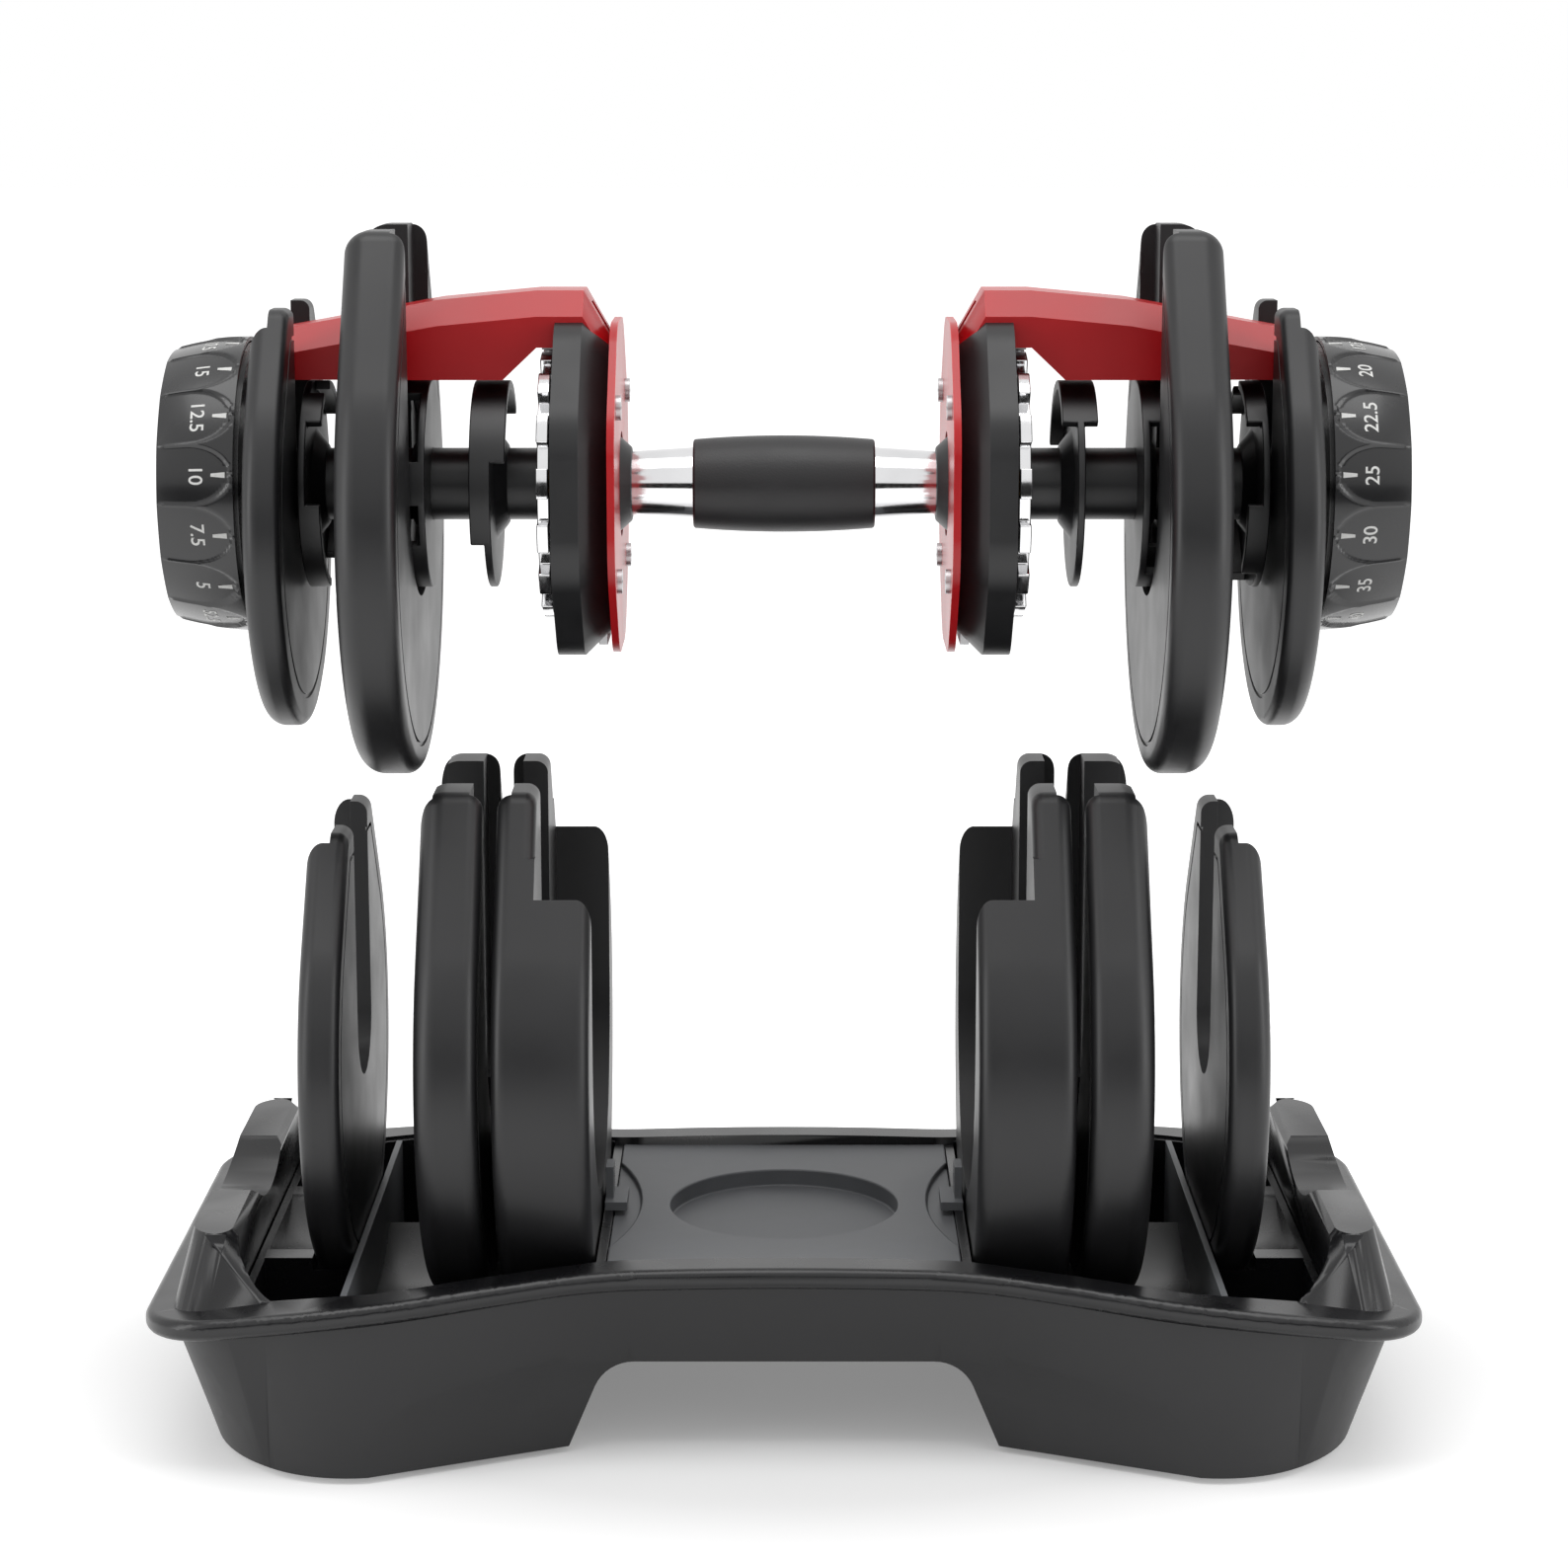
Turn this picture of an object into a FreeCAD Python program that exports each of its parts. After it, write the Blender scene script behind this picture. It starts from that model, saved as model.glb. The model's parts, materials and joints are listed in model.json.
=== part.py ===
"""Dial-selected adjustable dumbbell held above its storage tray.

The frame's origin is at the middle of the tray's underside. X runs along the
handle, Y from front to back and Z upwards. Sizes are in millimetres. A head is
drawn once, for the right side, about the handle's axis, and the left head is
the same set of pieces turned half a turn about Z.
"""
import FreeCAD
import Part
import math
import os

os.makedirs("parts", exist_ok=True)
Vector = FreeCAD.Vector

# Where the dumbbell is
SEATED_AXIS_Z = 128.0           # handle axis when the dumbbell stands in its tray
LIFT = 181.0                    # height it is held above that
CARRIED_AXIS_Z = SEATED_AXIS_Z + LIFT

# Clearances
SEAT_GAP = 0.3                  # between a loose piece and what carries it
RUNNING_GAP = 0.05              # radial, between a bushing and the spindle

# Settings of the dial: the plates hooked at each of its fifteen numbers
HOOKED_PLATES = (
    (), (1,), (2,), (1, 2), (3,), (1, 3), (2, 3), (1, 2, 3), (2, 4), (3, 4),
    (4, 5), (2, 4, 5), (3, 4, 5), (2, 3, 4, 5), (1, 2, 3, 4, 5),
)
SHOWN_SETTING = 5
SETTING_ANGLE = 360.0 / len(HOOKED_PLATES)

# Grip, bar and axle
GRIP_HALF_LENGTH = 29.9
GRIP_END_RADIUS = 14.6
GRIP_MIDDLE_RADIUS = 15.9
BAR_GRIP_RADIUS = 12.0
BAR_END_RADIUS = 10.3
AXLE_RADIUS = 6.0
AXLE_HALF_LENGTH = 188.0

# Housing and its covers
HOUSING_INNER_X = 56.0
HOUSING_OUTER_X = 74.0
HOUSING_APOTHEM = 55.0
HOUSING_CORNER_RADIUS = 25.0
HOUSING_CHAMFER = 9.0
HOUSING_SCREW_Y = 34.0
HOUSING_SCREW_Z = 28.0
HOUSING_SCREW_COVER = 4.0       # solid housing past a screw's tip
BACKPLATE_THICKNESS = 2.4
COLLAR_LENGTH = 6.0
COLLAR_RADIUS = 17.3
COLLAR_END_RADIUS = 12.0

# Arm cover: bottom edge, top edge and half-width at its stations along X
ARM_BOTTOM_Z = 35.6
ARM_HALF_WIDTH = 19.0
ARM_END_HALF_WIDTH = 17.0
ARM_SHOULDER = 8.0
ARM_END_X = 172.0
ARM_END_TOP_Z = 50.0
ARM_BEND_X = 112.0
ARM_BEND_TOP_Z = 61.0
ARM_ROOT_X = 65.0
ARM_ROOT_TOP_Z = 64.0
ARM_UNDERCUT_X = (91.0, 80.0)
ARM_UNDERCUT_Z = 46.0
ARM_FACE_TOP_Z = 44.0
ARM_FACE_BOTTOM_Z = 30.0
LOCK_POCKET_END_X = 81.0        # end of the tooth's pocket under the arm cover
INDEX_CLEARANCE = 1.5           # radial, between the index wheel and the arm cover

# Lock slide inside the housing
LOCK_X = 58.0
LOCK_THICKNESS = 3.0
LOCK_HALF_WIDTH = 12.0
LOCK_TRAVEL = 4.0
LOCK_FOOT_Z = -52.0
LOCK_SHOULDER_Z = 40.0
LOCK_TOOTH_HALF_WIDTH = 4.0
LOCK_TOOTH_HEIGHT = 4.0
LOCK_GUIDE_GAP = 0.3
SPRING_RADIUS = 3.2
SPRING_WIRE_RADIUS = 0.6
SPRING_TURNS = 4
SPRING_CEILING_Z = 60.0

# Selector: spindle, index wheel, discs and dial
SPINDLE_RADIUS = 11.8
SPINDLE_START_X = 75.2
SPINDLE_END_X = 176.0
BUSHING_RADIUS = 8.0
BUSHING_LENGTH = 8.0
BUSHING_FLANGE_RADIUS = 11.0
BUSHING_FLANGE = 1.0
INDEX_RADIUS = 44.0
INDEX_THICKNESS = 4.0
INDEX_NOTCH_WIDTH = 8.5
INDEX_NOTCH_DEPTH = 6.0
DISC_RADIUS = 34.0
DISC_RIM_INNER_RADIUS = 31.0
DISC_WEB = 2.4
DISC_BOSS_RADIUS = 18.0
DISC_BOSS_LENGTH = 4.0
DISC_A_X = 154.0                # inner face of each disc's web
DISC_B_X = 115.6
DISC_C_X = 94.6
DISC_A_RIM_START_X = 149.3      # far ends of the rims that pass under the plates' nubs
DISC_B_RIM_END_X = 123.8
DISC_C_RIM_START_X = 89.8
DISC_C_RIM_END_X = 101.4
DIAL_INNER_X = 175.0
DIAL_OUTER_X = 200.0
DIAL_INNER_RADIUS = 47.0
DIAL_MIDDLE_RADIUS = 46.6
DIAL_OUTER_RADIUS = 43.5
DIAL_WALL = 3.5
DIAL_WEB = 3.0
DIAL_RIM_START_X = 165.3
CAP_RECESS = 1.2
CAP_THICKNESS = 3.0
NUT_RADIUS = 10.0
NUT_LENGTH = 7.0

# Plates: inner face, outer face, top of the horns, radius and circle centre
PLATES = {
    1: {"inner": 158.0, "outer": 170.0, "top": 59.0, "radius": 69.0, "centre": -11.0,
        "horn": 33.0, "outer_round": 5.5, "inner_round": 3.0},
    2: {"inner": 142.5, "outer": 156.0, "top": 70.0, "radius": 77.5, "centre": -10.5,
        "horn": 35.0, "outer_round": 5.5, "inner_round": 4.0},
    3: {"inner": 120.0, "outer": 139.5, "top": 84.0, "radius": 85.0, "centre": -11.0,
        "horn": 38.0, "outer_round": 8.0, "inner_round": 5.0},
    4: {"inner": 98.0, "outer": 118.5, "top": 84.0, "radius": 85.0, "centre": -11.0,
        "horn": 38.0, "outer_round": 8.0, "inner_round": 5.0},
    5: {"inner": 80.5, "outer": 93.5, "top": 84.0, "radius": 85.0, "centre": -11.0,
        "horn": 38.0, "outer_round": 5.0, "inner_round": 4.0},
}
SLOT_HALF_WIDTH = 20.0
CHANNEL_HALF_WIDTH = 37.0
NUB_HALF_WIDTH = 5.0
NUB_INNER_RADIUS = 21.0
HORN_CORNER_RADIUS = 7.0
GROOVE_INSET = 9.0
GROOVE_WIDTH = 1.4
GROOVE_DEPTH = 0.7
CORE_INSET = 5.0
CORE_SKIN = 2.5
CORE_SLOT_MARGIN = 3.0
BELLY_INNER_X = 62.0
BELLY_BORE_RADIUS = 59.0
BELLY_TOP_Z = 65.0
BELLY_ROUND = 5.0

# Tray
TRAY_BOTTOM_Z = 2.0
RIM_TOP_Z = 65.0
RIM_DROOP = 13.0                # how far the rim falls from the middle to the ends
RIM_THICKNESS = 7.0
RIM_OVERHANG = 3.0
RIM_ROUND = 3.0
TRAY_WALL = 4.0
TRAY_FLOOR_Z = 6.0
# Corners of the plan outline in one quarter, as x, y and corner radius
RIM_PLAN = ((58.0, 80.0, 90.0), (135.0, 104.0, 150.0), (203.0, 98.0, 24.0))
FOOT_PLAN = ((58.0, 70.0, 40.0), (146.0, 109.0, 40.0), (188.0, 74.0, 60.0))
OPENING_PLAN = ((58.0, 70.0, 60.0), (130.0, 91.0, 60.0), (176.0, 88.0, 14.0))
ARCH_FOOT_X = 71.0              # half-width of the arch at the floor
ARCH_TOP_X = 58.0               # and at its top
ARCH_TOP_Z = 31.0
ARCH_CORNER_RADIUS = 14.0
ARCH_WALL = 3.0
# Sections of the scoop from the arch out to the skirt's face: how far from the middle,
# then half-width at the floor and at the top, height and corner radius
SCOOP_SECTIONS = (
    (74.0, ARCH_FOOT_X, ARCH_TOP_X, ARCH_TOP_Z, ARCH_CORNER_RADIUS),
    (80.0, 84.0, 80.0, 39.0, 24.0),
    (112.0, 156.0, 152.0, 40.5, 36.0),
)
COLLAR_BASE_X = (150.0, 198.0)
COLLAR_TOP_X = (178.0, 191.0)
COLLAR_BASE_Y = 95.0
COLLAR_TOP_Y = 80.0
COLLAR_TOP_Z = 76.0
COLLAR_ROUND = 4.0
DIAL_SADDLE_RADIUS = 61.0
DECK_HALF_LENGTH = 58.0
DECK_TOP_Z = 61.5
DECK_THICKNESS = 4.0
DECK_RECESS_RADIUS = 39.0
DECK_RECESS_DEPTH = 6.0
DECK_CRESCENT_RADIUS = 130.0
DECK_CRESCENT_WIDTH = 9.0
DECK_CRESCENT_DEPTH = 2.0
WELL_GAP = 0.2
WELL_WALL = 3.0
WELL_SADDLE_HALF_WIDTH = 40.0
WELL_END_X = 173.0
SADDLE_EDGE_5_X = 119.2         # where one plate's saddle ends and the next begins
SADDLE_EDGE_2_X = 157.0
DIVIDER_X = (139.9, 142.1)
DIVIDER_TOP_Z = 58.0
POST_HALF_WIDTH = 5.0
POST_TAB_HALF_WIDTH = 9.0
POST_TAB_X = 53.5
POST_TAB_THICKNESS = 3.0
POST_HOLE_RADIUS = 1.8
FOOT_RADIUS = 11.0
FOOT_PLACES = ((98.0, 60.0), (168.0, 58.0))
SCREW_RADIUS = 2.0
SCREW_HEAD_RADIUS = 4.0
SCREW_PLACES = ((84.0, 40.0), (165.0, 30.0))

X_AXIS = Vector(1, 0, 0)
Y_AXIS = Vector(0, 1, 0)
Z_AXIS = Vector(0, 0, 1)
ORIGIN = Vector(0, 0, 0)
FAR = 400.0


def save(node, shape):
    """Write one node, as one solid or as a group of separate solids."""
    solids = shape.Solids
    group = solids[0] if len(solids) == 1 else Part.makeCompound(solids)
    group.exportStep("parts/" + node + ".step")


def raised(shape, height):
    """A copy of a shape drawn about the handle's axis, at the axis's height."""
    moved = shape.copy()
    moved.translate(Vector(0, 0, height))
    return moved


def turned(shape):
    """The left head's copy of a right-hand piece."""
    copy = shape.copy()
    copy.rotate(ORIGIN, Z_AXIS, 180)
    return copy


def save_pair(name, shape, height=0.0):
    """Write a right-hand piece and the same piece on the left."""
    right = raised(shape, height)
    save("right_" + name, right)
    save("left_" + name, turned(right))


def box(x_range, y_range, z_range):
    size = (x_range[1] - x_range[0], y_range[1] - y_range[0], z_range[1] - z_range[0])
    return Part.makeBox(*size, Vector(x_range[0], y_range[0], z_range[0]))


def rod(radius, start, end, y=0.0, z=0.0):
    """A cylinder along X."""
    return Part.makeCylinder(radius, end - start, Vector(start, y, z), X_AXIS)


def cone(start_radius, end_radius, start, end):
    return Part.makeCone(start_radius, end_radius, end - start, Vector(start, 0, 0), X_AXIS)


def pillar(radius, x, y, bottom, top):
    """A cylinder along Z."""
    return Part.makeCylinder(radius, top - bottom, Vector(x, y, bottom), Z_AXIS)


def on_yz(x):
    return lambda a, b: Vector(x, a, b)


def on_xy(z):
    return lambda a, b: Vector(a, b, z)


def on_xz(y):
    return lambda a, b: Vector(a, y, b)


def rounded_edges(corners, place, closed=True):
    """Straight runs and tangent arcs through corners given as (a, b, radius)."""
    count = len(corners)
    legs = []
    for index, (a, b, radius) in enumerate(corners):
        at = Vector(a, b, 0)
        if radius == 0 or (not closed and index in (0, count - 1)):
            legs.append((at, None, at))
            continue
        before = Vector(*corners[index - 1][:2], 0) - at
        after = Vector(*corners[(index + 1) % count][:2], 0) - at
        before.normalize()
        after.normalize()
        half = before.getAngle(after) / 2
        middle = (before + after).normalize()
        centre = at + middle * (radius / math.sin(half))
        reach = radius / math.tan(half)
        legs.append((at + before * reach, centre - middle * radius, at + after * reach))
    edges = []
    for index, (start, bend, end) in enumerate(legs):
        if bend is not None:
            points = [place(p.x, p.y) for p in (start, bend, end)]
            edges.append(Part.Arc(*points).toShape())
        if index == count - 1 and not closed:
            break
        following = legs[(index + 1) % count][0]
        run = Part.LineSegment(place(end.x, end.y), place(following.x, following.y))
        edges.append(run.toShape())
    return edges


def rounded_wire(corners, place):
    return Part.Wire(rounded_edges(corners, place))


def prism(corners, place, direction):
    return Part.Face(rounded_wire(corners, place)).extrude(direction)


def four_quarters(plan, inset=0.0):
    """The whole plan outline from one quarter's corners, counter-clockwise."""
    quarter = [(x - inset, y - inset, max(radius - inset, 1.0)) for x, y, radius in plan]
    right = [(x, -y, r) for x, y, r in quarter] + [(x, y, r) for x, y, r in reversed(quarter)]
    return right + [(-x, -y, r) for x, y, r in right]


def rim_surface(drop):
    """Everything under the rim's drooping top, lowered by drop."""
    end_x = RIM_PLAN[-1][0]
    radius = (end_x ** 2 + RIM_DROOP ** 2) / (2 * RIM_DROOP)
    top = RIM_TOP_Z - drop
    centre = Vector(0, -FAR / 2, top - radius)
    return Part.makeCylinder(radius, FAR, centre, Y_AXIS)


def ring_sector(inner, outer, start, end, first_angle, sweep):
    """Part of a ring along X. Angles are about +X, from straight down."""
    wedge = Part.makeCylinder(outer, end - start, Vector(start, 0, 0), X_AXIS, sweep)
    ring = wedge.cut(rod(inner, start - 1, end + 1))
    ring.rotate(ORIGIN, X_AXIS, first_angle - ring_zero_angle())
    return ring


def ring_zero_angle():
    """Where a cylinder along X starts its sweep, about +X from straight down."""
    wedge = Part.makeCylinder(1, 1, ORIGIN, X_AXIS, 1)
    middle = wedge.CenterOfMass
    return math.degrees(math.atan2(middle.y, -middle.z)) - 0.5


def hook_rims(plate, start, end):
    """The arcs of a disc's rim that pass under the plate's nub when it is hooked."""
    hooked = [plate in plates for plates in HOOKED_PLATES]
    count = len(hooked)
    rims = []
    for setting in range(count):
        if not hooked[setting] or hooked[setting - 1]:
            continue
        length = 1
        while hooked[(setting + length) % count]:
            length += 1
        first = (setting - SHOWN_SETTING - 0.5) * SETTING_ANGLE
        rims.append(ring_sector(DISC_RIM_INNER_RADIUS, DISC_RADIUS, start, end, first,
                                length * SETTING_ANGLE))
    return rims


def fused(shapes):
    return shapes[0].multiFuse(shapes[1:]).removeSplitter()


# ---- Grip, bar, axle ----

def make_grip_sleeve():
    """A barrelled rubber sleeve on the middle of the bar."""
    half = GRIP_HALF_LENGTH
    crown = Part.Arc(Vector(-half, 0, GRIP_END_RADIUS), Vector(0, 0, GRIP_MIDDLE_RADIUS),
                     Vector(half, 0, GRIP_END_RADIUS)).toShape()
    ends = [Vector(half, 0, GRIP_END_RADIUS), Vector(half, 0, BAR_GRIP_RADIUS),
            Vector(-half, 0, BAR_GRIP_RADIUS), Vector(-half, 0, GRIP_END_RADIUS)]
    sides = [Part.LineSegment(a, b).toShape() for a, b in zip(ends, ends[1:])]
    sleeve = Part.Face(Part.Wire([crown] + sides)).revolve(ORIGIN, X_AXIS, 360)
    rims = [edge for edge in sleeve.Edges
            if abs(edge.BoundBox.ZMax - GRIP_END_RADIUS) < 0.01 and edge.BoundBox.XLength < 0.01]
    return sleeve.makeFillet(1.0, rims)


def make_handle_bar():
    """The bare steel bar, which thickens towards the grip."""
    end = HOUSING_INNER_X
    half = GRIP_HALF_LENGTH
    pieces = [rod(BAR_GRIP_RADIUS, -half, half)]
    pieces.append(cone(BAR_GRIP_RADIUS, BAR_END_RADIUS, half, end))
    pieces.append(turned(pieces[1]))
    return fused(pieces).cut(rod(AXLE_RADIUS, -end, end))


# ---- Housing, its covers and its screws ----

def octagon(apothem, corner_radius):
    reach = apothem / math.cos(math.radians(22.5))
    angles = [math.radians(22.5 + 45 * step) for step in range(8)]
    return [(reach * math.cos(a), reach * math.sin(a), corner_radius) for a in angles]


HOUSING_SCREWS = [(y, z) for y in (-HOUSING_SCREW_Y, HOUSING_SCREW_Y)
                  for z in (-HOUSING_SCREW_Z, HOUSING_SCREW_Z)]


def housing_block():
    """A thick eight-sided block with a bevel towards the grip."""
    bevel_x = HOUSING_INNER_X + HOUSING_CHAMFER
    small = octagon(HOUSING_APOTHEM - HOUSING_CHAMFER, HOUSING_CORNER_RADIUS - HOUSING_CHAMFER)
    large = octagon(HOUSING_APOTHEM, HOUSING_CORNER_RADIUS)
    nose = Part.makeLoft([rounded_wire(small, on_yz(HOUSING_INNER_X)),
                          rounded_wire(large, on_yz(bevel_x))], True, True)
    block = prism(large, on_yz(bevel_x), Vector(HOUSING_OUTER_X - bevel_x, 0, 0))
    return nose.fuse(block).removeSplitter()


def make_housing():
    """The block with its bores, the slide's guide and the tooth's window."""
    housing = housing_block()
    slide = LOCK_X - LOCK_GUIDE_GAP, LOCK_X + LOCK_THICKNESS + LOCK_GUIDE_GAP
    width = LOCK_HALF_WIDTH + LOCK_GUIDE_GAP
    housing = housing.cut(box(slide, (-width, width), (-FAR, FAR)))
    window = LOCK_TOOTH_HALF_WIDTH + LOCK_GUIDE_GAP
    housing = housing.cut(box((slide[1] - 1, HOUSING_OUTER_X + 1), (-window, window),
                              (INDEX_RADIUS - 1, FAR)))
    housing = housing.cut(rod(AXLE_RADIUS, HOUSING_INNER_X - 1, HOUSING_OUTER_X + 1))
    for y, z in HOUSING_SCREWS:
        housing = housing.cut(rod(SCREW_RADIUS, HOUSING_INNER_X - 1, HOUSING_OUTER_X - HOUSING_SCREW_COVER, y, z))
    return housing


def make_housing_screws():
    """Eight countersunk screws through the backplates into the housings."""
    face = HOUSING_INNER_X - BACKPLATE_THICKNESS
    screws = []
    for y, z in HOUSING_SCREWS:
        head = rod(SCREW_HEAD_RADIUS, face - 1.5, face, y, z)
        screw = head.fuse(rod(SCREW_RADIUS, face, HOUSING_OUTER_X - HOUSING_SCREW_COVER, y, z)).removeSplitter()
        recess = box((face - 1.6, face - 0.8), (y - 2.2, y + 2.2), (z - 0.5, z + 0.5))
        screws.append(screw.cut(recess).cut(box((face - 1.6, face - 0.8), (y - 0.5, y + 0.5),
                                                (z - 2.2, z + 2.2))))
    return Part.makeCompound(screws + [turned(screw) for screw in screws])


def make_hub_collar():
    start = HOUSING_INNER_X - COLLAR_LENGTH
    flare = cone(COLLAR_END_RADIUS, COLLAR_RADIUS, start, HOUSING_INNER_X)
    return flare.cut(cone(BAR_GRIP_RADIUS, BAR_END_RADIUS, GRIP_HALF_LENGTH, HOUSING_INNER_X))


def arm_section(x, bottom, top, half_width):
    """A six-sided section of the arm cover with sloping shoulders."""
    shoulder = top - ARM_SHOULDER
    crown = half_width - ARM_SHOULDER
    outline = [(-half_width, bottom), (half_width, bottom), (half_width, shoulder),
               (crown, top), (-crown, top), (-half_width, shoulder)]
    points = [Vector(x, y, z) for y, z in outline]
    return Part.makePolygon(points + points[:1])


def make_arm_cover():
    """The cover that bridges the discs, with its plate behind the housing."""
    undercut_start, undercut_end = ARM_UNDERCUT_X
    stations = [
        (HOUSING_INNER_X - BACKPLATE_THICKNESS, ARM_FACE_BOTTOM_Z, ARM_FACE_TOP_Z,
         ARM_HALF_WIDTH),
        (ARM_ROOT_X, ARM_UNDERCUT_Z, ARM_ROOT_TOP_Z, ARM_HALF_WIDTH),
        (undercut_end, ARM_UNDERCUT_Z, ARM_ROOT_TOP_Z, ARM_HALF_WIDTH),
        (undercut_start, ARM_BOTTOM_Z, ARM_ROOT_TOP_Z - 1, ARM_HALF_WIDTH),
        (ARM_BEND_X, ARM_BOTTOM_Z, ARM_BEND_TOP_Z, ARM_HALF_WIDTH),
        (ARM_END_X, ARM_BOTTOM_Z, ARM_END_TOP_Z, ARM_END_HALF_WIDTH),
    ]
    sections = [arm_section(*station) for station in stations]
    spans = [Part.makeLoft([a, b], True, True) for a, b in zip(sections, sections[1:])]
    plate_x = HOUSING_INNER_X - BACKPLATE_THICKNESS
    backplate = prism(octagon(HOUSING_APOTHEM - 1, HOUSING_CORNER_RADIUS - 1), on_yz(plate_x),
                      Vector(BACKPLATE_THICKNESS, 0, 0))
    cover = fused(spans + [backplate])
    cover = cover.cut(housing_block())
    cover = cover.cut(rod(COLLAR_RADIUS, 0, HOUSING_INNER_X))
    pocket = LOCK_TOOTH_HALF_WIDTH + LOCK_GUIDE_GAP
    cover = cover.cut(box((HOUSING_INNER_X, LOCK_POCKET_END_X), (-pocket, pocket),
                          (0, SPRING_CEILING_Z)))
    cover = cover.cut(rod(INDEX_RADIUS + INDEX_CLEARANCE, HOUSING_OUTER_X, undercut_end + 1))
    for y, z in HOUSING_SCREWS:
        cover = cover.cut(rod(SCREW_RADIUS, 0, HOUSING_INNER_X, y, z))
    return cover


# ---- Lock slide and its spring ----

def make_lock_slide():
    """A flat slide with a foot below and a tooth that reaches over the index wheel."""
    outer_x = LOCK_X + LOCK_THICKNESS
    tooth_z = INDEX_RADIUS + SEAT_GAP
    tooth_top = tooth_z + LOCK_TOOTH_HEIGHT
    strip = box((LOCK_X, outer_x), (-LOCK_HALF_WIDTH, LOCK_HALF_WIDTH),
                (LOCK_FOOT_Z, LOCK_SHOULDER_Z))
    neck = box((LOCK_X, outer_x), (-LOCK_TOOTH_HALF_WIDTH, LOCK_TOOTH_HALF_WIDTH),
               (LOCK_SHOULDER_Z, tooth_top))
    half_hole = AXLE_RADIUS + 0.6
    hole = rod(half_hole, LOCK_X - 1, outer_x + 1, 0, half_hole / 4)
    hole = hole.fuse(rod(half_hole, LOCK_X - 1, outer_x + 1, 0, -LOCK_TRAVEL - 1))
    hole = hole.fuse(box((LOCK_X - 1, outer_x + 1), (-half_hole, half_hole),
                         (-LOCK_TRAVEL - 1, half_hole / 4)))
    arm = box((LOCK_X, SPINDLE_START_X + INDEX_THICKNESS),
              (-LOCK_TOOTH_HALF_WIDTH, LOCK_TOOTH_HALF_WIDTH), (tooth_z, tooth_top))
    return fused([strip.cut(hole), neck, arm])


def make_lock_spring():
    """The coil spring that presses the slide down."""
    bottom = INDEX_RADIUS + SEAT_GAP + LOCK_TOOTH_HEIGHT + SPRING_WIRE_RADIUS
    height = SPRING_CEILING_Z - SPRING_WIRE_RADIUS - bottom - 0.1
    x = (LOCK_X + HOUSING_OUTER_X) / 2 + 1
    path = Part.makeHelix(height / SPRING_TURNS, height, SPRING_RADIUS)
    path.translate(Vector(x, 0, bottom + 0.05))
    start = path.Edges[0].valueAt(path.Edges[0].FirstParameter)
    section = Part.Wire(Part.makeCircle(SPRING_WIRE_RADIUS, start, Y_AXIS))
    return Part.Wire(path.Edges).makePipeShell([section], True, True)


# ---- Selector ----

def make_spindle_tube():
    tube = rod(SPINDLE_RADIUS, SPINDLE_START_X, SPINDLE_END_X)
    return tube.cut(rod(BUSHING_RADIUS + RUNNING_GAP, SPINDLE_START_X, SPINDLE_END_X))


def make_index_wheel():
    """A notched wheel at the spindle's inner end, one notch for each setting."""
    end = SPINDLE_START_X + INDEX_THICKNESS
    wheel = rod(INDEX_RADIUS, SPINDLE_START_X, end)
    half = INDEX_NOTCH_WIDTH / 2
    floor = INDEX_RADIUS - INDEX_NOTCH_DEPTH
    for setting in range(len(HOOKED_PLATES)):
        notch = box((SPINDLE_START_X - 1, end + 1), (-half, half), (floor, INDEX_RADIUS + 5))
        notch.rotate(ORIGIN, X_AXIS, setting * SETTING_ANGLE)
        wheel = wheel.cut(notch)
    return wheel.cut(rod(SPINDLE_RADIUS, SPINDLE_START_X, end))


def make_disc(web_x, rims, boss_outwards):
    """A selector disc: a web on a flared boss, with the arcs of its rims."""
    web = rod(DISC_RADIUS, web_x, web_x + DISC_WEB)
    if boss_outwards:
        boss = cone(DISC_BOSS_RADIUS, SPINDLE_RADIUS + 1, web_x + DISC_WEB,
                    web_x + DISC_WEB + DISC_BOSS_LENGTH)
    else:
        boss = cone(SPINDLE_RADIUS + 1, DISC_BOSS_RADIUS, web_x - DISC_BOSS_LENGTH, web_x)
    disc = fused([web, boss] + rims)
    return disc.cut(rod(SPINDLE_RADIUS, web_x - 20, web_x + 20))


def make_dial_ring():
    """The numbered ring with its web and the rim that hooks the first plate."""
    wall = DIAL_WALL
    middle_x = (DIAL_INNER_X + DIAL_OUTER_X) / 2 - 3
    outer = Part.Arc(Vector(DIAL_INNER_X, 0, DIAL_INNER_RADIUS),
                     Vector(middle_x, 0, DIAL_MIDDLE_RADIUS),
                     Vector(DIAL_OUTER_X, 0, DIAL_OUTER_RADIUS)).toShape()
    loop = [Vector(DIAL_OUTER_X, 0, DIAL_OUTER_RADIUS),
            Vector(DIAL_OUTER_X, 0, DIAL_OUTER_RADIUS - wall),
            Vector(DIAL_INNER_X, 0, DIAL_OUTER_RADIUS - wall),
            Vector(DIAL_INNER_X, 0, DIAL_INNER_RADIUS)]
    sides = [Part.LineSegment(a, b).toShape() for a, b in zip(loop, loop[1:])]
    band = Part.Face(Part.Wire([outer] + sides)).revolve(ORIGIN, X_AXIS, 360)
    web = rod(DIAL_OUTER_RADIUS, DIAL_INNER_X - 1, DIAL_INNER_X - 1 + DIAL_WEB)
    face = PLATES[1]["outer"] + SEAT_GAP
    rim = rod(DISC_RADIUS, face, DIAL_INNER_X).cut(rod(DISC_RIM_INNER_RADIUS, face, DIAL_INNER_X))
    ring = fused([band, web, rim] + hook_rims(1, DIAL_RIM_START_X, face + 1))
    return ring.cut(rod(SPINDLE_RADIUS, DIAL_INNER_X - 2, DIAL_INNER_X + DIAL_WEB))


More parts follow.
